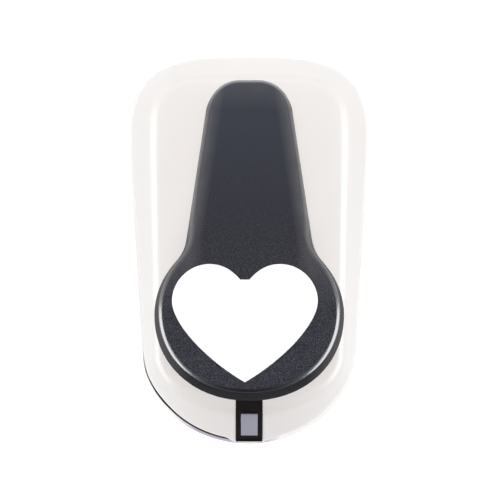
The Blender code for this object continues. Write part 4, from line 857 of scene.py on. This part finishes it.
def make_base():
    def top(x, y):
        return BASE_TOP_Z if y > THROAT_BACK_Y + THROAT_STEP / 2 else DECK_Z

    rings = [
        at(housing(BASE_BOTTOM_INSET), FOOT_STAND),
        at(housing(-BASE_LIP), FOOT_STAND),
        at(housing(-BASE_LIP), top),
        at(housing(BASE_TOP_INSET), top),
    ]
    base = loft("base_moulding", rounded_levels(rings, BASE_ROUNDS, BASE_ROUND_STEPS))
    combine(base, prism("hollow", housing(WALL), FOOT_STAND - PAST, DECK_UNDERSIDE_Z))
    combine(base, prism("pocket", keyhole(), *POCKET_HEIGHTS))
    finish_piece(base, "base_moulding", WHITE_BASE, "housing", "base_shell")


def keyhole():
    """The die plate's pocket: a round with a tongue towards the rear."""
    start = math.acos(POCKET_HALF_WIDTH / POCKET_RADIUS)
    half = [(POCKET_HALF_WIDTH, POCKET_TONGUE_END_Y)]
    for step in range(KEYHOLE_STEPS):
        angle = start - (start + math.pi / 2) * step / KEYHOLE_STEPS
        y = DIE_Y + POCKET_RADIUS * math.sin(angle)
        half.append((POCKET_RADIUS * math.cos(angle), y))
    half.append((0.0, DIE_Y - POCKET_RADIUS))
    return closed(half)


# Lever

NECK_BLEND = math.radians(38.0)
NECK_LEAVE_SHARE = 0.33
NECK_ARRIVE_SHARE = 0.44
HEAD_HALF_WIDTH = 33.55 * MM
HEAD_HALF_LENGTH = 29.7 * MM
HEAD_FRONT_REACH = 30.6 * MM
HEAD_FRONT_FULLNESS = 2.11
HEAD_MIDDLE_Y = HEAD_Y + 0.65 * MM
HEAD_TOP = SKIRT_Z + 15.0 * MM
TAIL_TOP = SKIRT_Z + 12.5 * MM
# Where the top falls from head to tail, and where the section changes
FALL_START_Y = -48.0 * MM
FALL_RUN = 56.0 * MM
SECTION_START_Y = NECK_Y - 7.0 * MM
SECTION_RUN = 28.0 * MM
HEAD_DRAFT = 1.65 * MM
TAIL_DRAFT = 0.9 * MM
HEAD_ROUND_WIDTH = 1.35 * MM
HEAD_ROUND_HEIGHT = 0.95 * MM
HEAD_ROUND_FULLNESS = 1.2
TAIL_ROUND_WIDTH = 2.6 * MM
TAIL_ROUND_HEIGHT = 1.6 * MM
TAIL_ROUND_FULLNESS = 2.0
LEVER_ROUND_STEPS = 9
# Points along the outline's parts, from the tail's tip to the front of the head
TAIL_CORNER_STEPS = 20
TAIL_SIDE_STEPS = 15
NECK_STEPS = 18
HEAD_SIDE_STEPS = 16
HEAD_FRONT_STEPS = 48

LEVER_WALL = 2.5 * MM
LEVER_ROOF = 2.8 * MM
# The skirt's rim from the inside to the outside: inset from the outline, height above the rim
SKIRT_RIM = (mm(2.4, 0.2), mm(2.2, 0.0), mm(0.35, 0.0), mm(0.1, 0.1), mm(0.0, 0.35))
# Radius and span of the hubs and of the bore for the pin
HUB = (3.4 * MM, mm(10.9, 13.2))
PIN_BORE = (2.15 * MM, mm(-16.0, 16.0))
RIB_X = 6.0 * MM
RIB_HALF_WIDTH = 0.7 * MM
RIB_FRONT_Y = -64.0 * MM
RIB_REAR_Y = -9.0 * MM
RIB_LOW = TAIL_TOP - 5.8 * MM
# The ribs and the pusher end this far under the lever's top, inside its roof
ROOTED = 1.4 * MM

INLAY_CENTRE = (-1.55 * MM, HEAD_Y - 3.9 * MM)
INLAY_DEPTH = 1.2 * MM
INLAY_PROUD = 0.25 * MM
INLAY_ROUND = 0.2 * MM
SEAT_GAP = 0.12 * MM
SEAT_DEPTH = 1.5 * MM

# Faces of the lever whose normals rise more than this take the grained plastic
WALL_RISE = 0.16


def head_point(angle):
    y = HEAD_MIDDLE_Y + HEAD_HALF_LENGTH * math.sin(angle)
    return (HEAD_HALF_WIDTH * math.cos(angle), y)


def lever_outline():
    taper = math.atan2(NECK_HALF_WIDTH - TAIL_HALF_WIDTH, TAIL_TIP_Y - NECK_Y)
    normal = (math.cos(taper), math.sin(taper))
    line = TAIL_HALF_WIDTH * normal[0] + TAIL_TIP_Y * normal[1]
    corner_y = TAIL_TIP_Y - TAIL_CORNER
    corner_x = (line - TAIL_CORNER - corner_y * normal[1]) / normal[0]
    half = []
    for step in range(TAIL_CORNER_STEPS + 1):
        angle = math.pi / 2 - (math.pi / 2 - taper) * step / TAIL_CORNER_STEPS
        x = corner_x + TAIL_CORNER * math.cos(angle)
        half.append((x, corner_y + TAIL_CORNER * math.sin(angle)))
    start = half[-1]
    for step in range(1, TAIL_SIDE_STEPS + 1):
        t = step / TAIL_SIDE_STEPS
        x = start[0] + (NECK_HALF_WIDTH - start[0]) * t
        half.append((x, start[1] + (NECK_Y - start[1]) * t))
    half += neck_curve(taper)
    for step in range(1, HEAD_SIDE_STEPS + 1):
        half.append(head_point(NECK_BLEND * (1 - step / HEAD_SIDE_STEPS)))
    front = quarter(HEAD_HALF_WIDTH, HEAD_FRONT_REACH, HEAD_FRONT_FULLNESS, HEAD_FRONT_STEPS)
    half += [(x, HEAD_MIDDLE_Y - y) for x, y in reversed(front[:-1])]
    return closed(half)


def neck_curve(taper):
    """The flare from the tapered tail into the round head."""
    neck = (NECK_HALF_WIDTH, NECK_Y)
    shoulder = head_point(NECK_BLEND)
    span = math.hypot(shoulder[0] - neck[0], shoulder[1] - neck[1])
    leaving = span * NECK_LEAVE_SHARE
    slope = (HEAD_HALF_WIDTH * math.sin(NECK_BLEND), HEAD_HALF_LENGTH * math.cos(NECK_BLEND))
    back = span * NECK_ARRIVE_SHARE / math.hypot(*slope)
    leave = (neck[0] + leaving * math.sin(taper), neck[1] - leaving * math.cos(taper))
    arrive = (shoulder[0] - back * slope[0], shoulder[1] + back * slope[1])
    return bezier(neck, leave, arrive, shoulder, NECK_STEPS)


def ease(t):
    t = min(max(t, 0.0), 1.0)
    return t * t * (3 - 2 * t)


def lever_top(y):
    return HEAD_TOP + (TAIL_TOP - HEAD_TOP) * ease((y - FALL_START_Y) / FALL_RUN)


def on_tail(y, head_value, tail_value):
    """A value of the section that changes smoothly from the head to the tail."""
    return head_value + (tail_value - head_value) * ease((y - SECTION_START_Y) / SECTION_RUN)


def skirt_bottom(y):
    return SKIRT_Z + max(y, 0.0) * math.tan(REST_PITCH)


def lever_ring(outline, inset, height):
    ring = offset(outline, lambda x, y: -inset(y))
    return [(x, y, height(y0)) for (x, y), (_, y0) in zip(ring, outline)]


def lever_shell():
    outline = lever_outline()

    def draft(y):
        return on_tail(y, HEAD_DRAFT, TAIL_DRAFT)

    def power(y):
        return 2 / on_tail(y, HEAD_ROUND_FULLNESS, TAIL_ROUND_FULLNESS)

    def across(y, angle):
        wide = on_tail(y, HEAD_ROUND_WIDTH, TAIL_ROUND_WIDTH)
        return draft(y) + wide * (1 - max(math.cos(angle), 0.0) ** power(y))

    def height(y, angle):
        tall = on_tail(y, HEAD_ROUND_HEIGHT, TAIL_ROUND_HEIGHT)
        return lever_top(y) - tall * (1 - math.sin(angle) ** power(y))

    def under_roof(y):
        return lever_top(y) - LEVER_ROOF

    rings = [lever_ring(outline, lambda y: LEVER_WALL + draft(y), under_roof)]
    for inset, above in SKIRT_RIM:
        rings.append(lever_ring(outline, lambda y: inset, lambda y: skirt_bottom(y) + above))
    for step in range(LEVER_ROUND_STEPS + 1):
        angle = math.pi / 2 * step / LEVER_ROUND_STEPS
        rings.append(lever_ring(outline, lambda y: across(y, angle), lambda y: height(y, angle)))
    return loft("lever_moulding", rings)


def make_lever():
    lever = lever_shell()
    for side in (-1.0, 1.0):
        outwards = Matrix.Rotation(side * math.pi / 2, 4, "Y")
        combine(lever, cylinder("hub", *HUB, matrix=outwards), "UNION")
        rib = [
            (RIB_FRONT_Y, RIB_LOW),
            (RIB_REAR_Y, RIB_LOW),
            (RIB_REAR_Y, lever_top(RIB_REAR_Y) - ROOTED),
            (RIB_FRONT_Y, lever_top(RIB_FRONT_Y) - ROOTED),
        ]
        combine(lever, side_prism("rib", rib, RIB_HALF_WIDTH, side * RIB_X), "UNION")
    combine(lever, pusher(), "UNION")
    combine(lever, catch(), "UNION")
    combine(lever, cylinder("bore", *PIN_BORE, matrix=ALONG_X))
    outline = heart(SEAT_GAP, INLAY_CENTRE)
    combine(lever, prism("seat", outline, HEAD_TOP - SEAT_DEPTH, HEAD_TOP + PAST))
    finish_piece(
        lever, "lever_moulding", CHARCOAL, "lever", "lever", angle=28.0
    )
    lever.data.materials.append(CHARCOAL_WALL)
    for face in lever.data.polygons:
        face.material_index = 0 if face.normal.z > WALL_RISE else 1
    lever.data.transform(LEVER_TO_WORLD)


PUSHER_RADIUS = 1.6 * MM
PUSHER_HALF_WIDTH = 14.0 * MM
# The plunger's top stands this much lower when the lever is pressed
PLUNGER_FALL = 10.207 * MM
PUSHER_GAP = 0.3 * MM
PUSHER_STEPS = 16


def pusher():
    """The rib under the head whose round edge presses the plunger."""
    middle = PLUNGER_TOP_Z - PLUNGER_FALL + PUSHER_GAP - PIN_Z + PUSHER_RADIUS
    ring = [(HEAD_Y - PUSHER_RADIUS, HEAD_TOP - ROOTED)]
    for step in range(PUSHER_STEPS + 1):
        angle = math.pi + math.pi * step / PUSHER_STEPS
        y = HEAD_Y + PUSHER_RADIUS * math.cos(angle)
        ring.append((y, middle + PUSHER_RADIUS * math.sin(angle)))
    ring.append((HEAD_Y + PUSHER_RADIUS, HEAD_TOP - ROOTED))
    return side_prism("pusher", ring, PUSHER_HALF_WIDTH)


CATCH_HALF_WIDTH = 2.2 * MM
CATCH_THICKNESS = 1.5 * MM
CATCH_TOP_Z = 35.9 * MM
CATCH_ROOT = SKIRT_Z + 3.0 * MM
NOSE_HEIGHT = 2.4 * MM
NOSE_FLAT = 0.75 * MM
NOSE_CHAMFER = 0.3 * MM


def catch():
    """The hook under the head, with a nose whose ramp is parallel to the latch's path."""
    front = CATCH_FRONT_Y - PIN_Y
    back = front + CATCH_THICKNESS
    top = CATCH_TOP_Z - PIN_Z
    bottom = top - NOSE_HEIGHT
    tip = front - NOSE_REACH
    ramp = NOSE_REACH - NOSE_FLAT
    ring = [
        (back, CATCH_ROOT),
        (back, bottom + NOSE_CHAMFER),
        (back - NOSE_CHAMFER, bottom),
        (tip + NOSE_CHAMFER, bottom),
        (tip, bottom + NOSE_CHAMFER),
        (tip, top - ramp * math.tan(SLOPE_ANGLE)),
        (tip + ramp, top),
        (front, top),
        (front, CATCH_ROOT),
    ]
    return side_prism("catch", ring, CATCH_HALF_WIDTH)


def make_inlay():
    """The heart. It isn't mirrored about the middle line, so its caps are triangulated."""
    high = HEAD_TOP + INLAY_PROUD
    middle = ROUND_MIDDLE * INLAY_ROUND
    rings = [
        at(heart(0.0, INLAY_CENTRE), HEAD_TOP - INLAY_DEPTH),
        at(heart(0.0, INLAY_CENTRE), high - INLAY_ROUND),
        at(heart(-middle, INLAY_CENTRE), high - middle),
        at(heart(-INLAY_ROUND, INLAY_CENTRE), high),
    ]
    shape = bmesh.new()
    levels = tube(shape, rings)
    faces = [shape.faces.new(levels[0]), shape.faces.new(levels[-1])]
    bmesh.ops.triangulate(shape, faces=faces)
    inlay = add_object("heart_panel", shape)
    inlay.data.transform(LEVER_TO_WORLD)
    finish_piece(inlay, "heart_panel", INLAY, "lever", "heart_inlay")


PIN_RADIUS = 2.0 * MM
PIN_HALF_LENGTH = 13.75 * MM
PIN_CHAMFER = 0.3 * MM


def make_pin():
    profile = [
        (0.0, -PIN_HALF_LENGTH),
        (PIN_RADIUS - PIN_CHAMFER, -PIN_HALF_LENGTH),
        (PIN_RADIUS, -PIN_HALF_LENGTH + PIN_CHAMFER),
        (PIN_RADIUS, PIN_HALF_LENGTH - PIN_CHAMFER),
        (PIN_RADIUS - PIN_CHAMFER, PIN_HALF_LENGTH),
        (0.0, PIN_HALF_LENGTH),
    ]
    pin = turned("pin", profile, (0.0, 0.0), matrix=ALONG_X)
    pin.data.transform(LEVER_TO_WORLD)
    finish_piece(pin, "hinge_pin_bright", STEEL, "lever", "hinge_pin")


# Plunger

PLUNGER_TOP_Z = 51.7 * MM
PLUNGER_RADIUS = 25.5 * MM
PLUNGER_WALL = 2.2 * MM
PLUNGER_ROOF = 2.5 * MM
PLUNGER_ROUND = 1.5 * MM
PLUNGER_ROUND_STEPS = 8
FLANGE_RADIUS = 31.2 * MM
FLANGE_LOW_Z = 35.0 * MM
FLANGE_TOP_Z = 37.5 * MM
FLANGE_CHAMFER = 0.2 * MM
# Fillet between flange and wall: out from the wall, up from the flange
FLANGE_FILLET = (mm(0.6, 0.0), mm(0.15, 0.2), mm(0.0, 0.6))
# Two columns for the cutter's screws, each with a sunk hole above and a bore below, and the
# holes of the guide posts: radius and heights of each
COLUMN_X = 12.0 * MM
COLUMN_Y = DIE_Y + 6.0 * MM
COLUMN = (3.6 * MM, mm(26.3, 50.4))
SUNK_HOLE = (3.2 * MM, mm(35.7, 54.0))
SCREW_BORE = (1.7 * MM, mm(24.0, 40.0))
POST_HOLE = (1.9 * MM, mm(33.0, 40.0))
COLUMN_STEPS = 40
BORE_STEPS = 32
# Places of the posts, by their angles about the die
POST_ANGLES = (90.0, 215.0, 325.0)
POST_CIRCLE = 28.0 * MM
# The flange is cut flat at the front, where the catch passes: half width, run and heights
FLAT = (34.0 * MM, mm(-58.0, -51.0), mm(33.0, 37.8))


def make_plunger():
    top = PLUNGER_TOP_Z
    inner = PLUNGER_RADIUS - PLUNGER_WALL
    profile = [
        (0.0, top - PLUNGER_ROOF),
        (inner, top - PLUNGER_ROOF),
        (inner, FLANGE_LOW_Z),
        (FLANGE_RADIUS - FLANGE_CHAMFER, FLANGE_LOW_Z),
        (FLANGE_RADIUS, FLANGE_LOW_Z + FLANGE_CHAMFER),
        (FLANGE_RADIUS, FLANGE_TOP_Z - FLANGE_CHAMFER),
        (FLANGE_RADIUS - FLANGE_CHAMFER, FLANGE_TOP_Z),
    ]
    profile += [(PLUNGER_RADIUS + out, FLANGE_TOP_Z + up) for out, up in FLANGE_FILLET]
    for step in range(PLUNGER_ROUND_STEPS + 1):
        angle = math.pi / 2 * step / PLUNGER_ROUND_STEPS
        inset = PLUNGER_ROUND * (1 - math.cos(angle))
        profile.append((PLUNGER_RADIUS - inset, top - PLUNGER_ROUND * (1 - math.sin(angle))))
    profile.append((0.0, top))
    plunger = turned("plunger_moulding", profile, (0.0, DIE_Y), ROUND_STEPS)
    for side in (-1.0, 1.0):
        place = (side * COLUMN_X, COLUMN_Y)
        combine(plunger, cylinder("column", *COLUMN, place, COLUMN_STEPS), "UNION")
        combine(plunger, cylinder("sunk", *SUNK_HOLE, place, COLUMN_STEPS))
        combine(plunger, cylinder("bore", *SCREW_BORE, place, BORE_STEPS))
    for angle in POST_ANGLES:
        turn = math.radians(angle)
        place = (POST_CIRCLE * math.cos(turn), DIE_Y + POST_CIRCLE * math.sin(turn))
        combine(plunger, cylinder("post hole", *POST_HOLE, place, BORE_STEPS))
    combine(plunger, middle_box("flat", *FLAT))
    finish_piece(plunger, "plunger_moulding", PLUNGER, "punch", "plunger")


# Return springs

SPRING_RADIUS = 2.6 * MM
SPRING_WIRE = 0.45 * MM
SPRING_TURNS = 5
STEPS_PER_TURN = 28
WIRE_SIDES = 10


def coil(name, centre, low, high):
    """A helix of round wire between two heights, which are those of the wire's outside."""
    rings = []
    steps = SPRING_TURNS * STEPS_PER_TURN
    start = low + SPRING_WIRE
    length = high - low - 2 * SPRING_WIRE
    slope = length / (2 * math.pi * SPRING_TURNS * SPRING_RADIUS)
    for step in range(steps + 1):
        angle = 2 * math.pi * SPRING_TURNS * step / steps
        out = Vector((math.cos(angle), math.sin(angle), 0.0))
        up = out.cross(Vector((-math.sin(angle), math.cos(angle), slope)).normalized())
        middle = Vector((*centre, start + length * step / steps)) + out * SPRING_RADIUS
        ring = []
        for side in range(WIRE_SIDES):
            turn = 2 * math.pi * side / WIRE_SIDES
            spoke = out * math.cos(turn) + up * math.sin(turn)
            ring.append(middle + spoke * SPRING_WIRE)
        rings.append(ring)
    shape = bmesh.new()
    levels = tube(shape, rings)
    shape.faces.new(levels[0])
    shape.faces.new(levels[-1])
    return add_object(name, shape)


def make_springs():
    for place in ("rear", "front_left", "front_right"):
        node = f"return_spring_{place}"
        low, high, centre = node_box(node)
        spring = coil(node, centre, low[2], high[2])
        finish_piece(spring, f"spring_coil_{place}", WIRE, "housing", node, angle=60.0)
        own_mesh(spring)


def node_box(name):
    """A solid's box and its middle in plan."""
    low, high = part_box(name)
    return low, high, ((low[0] + high[0]) / 2, (low[1] + high[1]) / 2)


# Lock

STRIP_PROUD = 0.3 * MM
STRIP_DEEP = 1.2 * MM
STRIP_HALF_WIDTH = 4.8 * MM
STRIP_END = 17.4 * MM
STRIP_REAR_Y = -50.6 * MM
STRIP_BEVEL = 0.12 * MM
# The strip's raised edge, and the floor between
STRIP_EDGE = 0.7 * MM
STRIP_SIDE_EDGE = 0.65 * MM
STRIP_FLOOR = 0.05 * MM
CHANNEL_GAP_BELOW = 0.2 * MM
CHANNEL_GAP_END = 0.15 * MM
CHANNEL_GAP_SIDE = 0.12 * MM
THROUGH_ROOF = (ROOF_Z - PAST, PLATEAU_Z + PAST)
CATCH_SLOT_HALF_WIDTH = 3.0 * MM
CATCH_SLOT_REAR_Y = DIE_Y - 23.5 * MM
# The button's stem and its slot, in the slope's own frame: half width, run and heights
STEM = (1.3 * MM, mm(-9.6, -5.6), mm(-2.2, 1.0))
STEM_SLOT = (1.6 * MM, mm(-9.9, -2.3), mm(-4.2, 2.0))
BUTTON_LOW = mm(-2.92, -12.15, 0.6)
BUTTON_HIGH = mm(3.04, -0.5, 1.6)
BUTTON_BEVEL = 0.22 * MM


def on_slope(down, depth):
    y = SLOPE_TOP_Y - down * math.cos(SLOPE_ANGLE) + depth * math.sin(SLOPE_ANGLE)
    z = PLATEAU_Z - down * math.sin(SLOPE_ANGLE) - depth * math.cos(SLOPE_ANGLE)
    return (y, z)


def strip_ring(outer, inner, end, rear):
    """Side view of the lock's strip: over the plateau's front, then down the slope."""
    turn = math.tan(SLOPE_ANGLE / 2)
    return [
        (rear, PLATEAU_Z - outer),
        (rear, PLATEAU_Z - inner),
        (SLOPE_TOP_Y + inner * turn, PLATEAU_Z - inner),
        on_slope(end, inner),
        on_slope(end, outer),
        (SLOPE_TOP_Y + outer * turn, PLATEAU_Z - outer),
    ]


def lock_channel():
    """What the cover loses for the strip."""
    deep = STRIP_DEEP + CHANNEL_GAP_BELOW
    ring = strip_ring(-PAST, deep, STRIP_END + CHANNEL_GAP_END, STRIP_REAR_Y)
    return side_prism("channel", ring, STRIP_HALF_WIDTH + CHANNEL_GAP_SIDE)


def cut_lock_slots(obj):
    """Cut the slots that the catch and the button's stem pass."""
    run = (SLOT_FRONT_Y, CATCH_SLOT_REAR_Y)
    combine(obj, middle_box("catch slot", CATCH_SLOT_HALF_WIDTH, run, THROUGH_ROOF))
    combine(obj, middle_box("stem slot", *STEM_SLOT, SLOPE_TO_WORLD))


def make_strip():
    ring = strip_ring(-STRIP_PROUD, STRIP_DEEP, STRIP_END, STRIP_REAR_Y)
    strip = side_prism("strip", ring, STRIP_HALF_WIDTH)
    bevel(strip, STRIP_BEVEL, 2)
    floor = strip_ring(-PAST, STRIP_FLOOR, STRIP_END - STRIP_EDGE, STRIP_REAR_Y - STRIP_EDGE)
    combine(strip, side_prism("recess", floor, STRIP_HALF_WIDTH - STRIP_SIDE_EDGE))
    cut_lock_slots(strip)
    finish_piece(strip, "lock_strip", BLACK, "housing", "lock_bezel")


def make_slider():
    slider = box("slider", BUTTON_LOW, BUTTON_HIGH)
    bevel(slider, BUTTON_BEVEL, 3)
    combine(slider, middle_box("stem", *STEM), "UNION")
    slider.data.transform(SLOPE_TO_WORLD)
    finish_piece(slider, "lock_slider", GREY, "lock", "lock_button")


# Feet

# (radius, z) from the hollow in the middle round the rim to the top
FOOT_HOLLOW = (mm(0.0, 0.35), mm(1.6, 0.35), mm(1.9, 0.0))
FOOT_RIM = (mm(3.6, 0.0), mm(3.88, 0.12), mm(4.0, 0.4), mm(4.0, 1.9), mm(0.0, 1.9))


def make_feet():
    for row in ("rear", "front"):
        for side in ("right", "left"):
            name = f"foot_{row}_{side}"
            foot = turned("foot", FOOT_HOLLOW + FOOT_RIM, node_box(name)[2])
            finish_piece(foot, f"rubber_{name}", RUBBER, "housing", name)


make_cover()
make_base()
make_lever()
make_inlay()
make_pin()
make_plunger()
make_springs()
make_strip()
make_slider()
make_feet()


# Floor, light and camera

FLOOR_SIZE = 8.0
FLOOR_COLOUR = (0.3, 0.3, 0.3, 1.0)
FLOOR_GLOW = (1.0, 1.0, 1.0, 1.0)
FLOOR_GLOW_STRENGTH = 0.95
WORLD_COLOUR = (0.955, 1.0, 1.04, 1.0)
WORLD_LEVEL = 0.10
WORLD_FRONT_LEVEL = 0.01
WORLD_SIDE_GAIN = 0.80
LIGHT_COLOUR = (1.0, 0.985, 0.972)
# Irradiance, tilt towards the rear and spread in degrees
OVERHEAD = (0.772 * math.pi, 0.0, 4.0)
REAR_BOX = (0.19 * math.pi, 30.0, 40.0)
STRIP_LIGHT_X = 1.1
STRIP_LIGHT_Y = -0.47
STRIP_LIGHT_Z = 0.5
STRIP_LIGHT_AIM_Z = 0.04
STRIP_LIGHT_SIZE = (1.39, 0.6)
STRIP_LIGHT_POWER = 9.2

CAMERA_PLACE = Vector((-3.1 * MM, 30.0 * MM, 1.6))
CAMERA_AIM = Vector(mm(0.36, -0.09, 12.0))
PICTURE_WIDTH = 500 * 0.3613 * MM
PICTURE_DISTANCE = 1.582


def make_floor():
    shape = bmesh.new()
    bmesh.ops.create_grid(shape, x_segments=1, y_segments=1, size=FLOOR_SIZE)
    floor = add_object("floor", shape)
    m = Shader("pale_floor", 0.9)
    m.drive("Base Color", FLOOR_COLOUR)
    m.drive("Emission Color", FLOOR_GLOW)
    m.drive("Emission Strength", FLOOR_GLOW_STRENGTH)
    floor.data.materials.append(m.material)


def make_world():
    """A studio dome with bright walls at both sides and an unlit room in front."""
    world = bpy.data.worlds.new("studio")
    bpy.context.scene.world = world
    m = Nodes(world)
    aside = m.axis("X", "Generated")
    sides = m.times(m.times(aside, aside), WORLD_SIDE_GAIN)
    levels = (WORLD_FRONT_LEVEL, WORLD_LEVEL)
    front = m.map(m.axis("Y", "Generated"), -0.5, 0.0, *levels)
    background = m.tree.nodes["Background"]
    m.feed(background.inputs["Color"], WORLD_COLOUR)
    m.feed(background.inputs["Strength"], m.add(sides, front))


def add_light(name, kind, energy, place):
    data = bpy.data.lights.new(name, kind)
    data.energy = energy
    light = link(name, data)
    light.location = place
    return light


def soft_light(name, irradiance, tilt, spread):
    """Even light from above. It is left out of reflections, so that no face mirrors it."""
    light = add_light(name, "SUN", irradiance, (0.0, 0.0, 2.0))
    light.data.angle = math.radians(spread)
    light.data.color = LIGHT_COLOUR
    light.data.specular_factor = 0.0
    light.rotation_euler = (-math.radians(tilt), 0.0, 0.0)
    light.visible_glossy = False


def highlight_strip(name, x):
    """A long light that shows only in reflections, as the lines along the rounded edges."""
    light = add_light(name, "AREA", STRIP_LIGHT_POWER, (x, STRIP_LIGHT_Y, STRIP_LIGHT_Z))
    light.data.shape = "RECTANGLE"
    light.data.size, light.data.size_y = STRIP_LIGHT_SIZE
    direction = Vector((-x, 0.0, STRIP_LIGHT_AIM_Z - STRIP_LIGHT_Z))
    light.rotation_euler = direction.to_track_quat("-Z", "Y").to_euler()
    light.visible_diffuse = False


def make_camera():
    """A long lens from just off the vertical, framed as the photograph."""
    data = bpy.data.cameras.new("camera")
    data.sensor_width = 36.0
    data.lens = data.sensor_width * PICTURE_DISTANCE / PICTURE_WIDTH
    data.clip_start = 0.05
    data.clip_end = 50.0
    eye = link("camera", data)
    eye.location = CAMERA_PLACE
    look = CAMERA_AIM - CAMERA_PLACE
    eye.rotation_euler = (math.atan2(look.y, -look.z), -math.atan2(look.x, -look.z), 0.0)
    bpy.context.scene.camera = eye


make_floor()
make_world()
soft_light("overhead", *OVERHEAD)
soft_light("rear_box", *REAR_BOX)
highlight_strip("left_strip", -STRIP_LIGHT_X)
highlight_strip("right_strip", STRIP_LIGHT_X)
make_camera()
bpy.context.scene.view_settings.view_transform = "Standard"
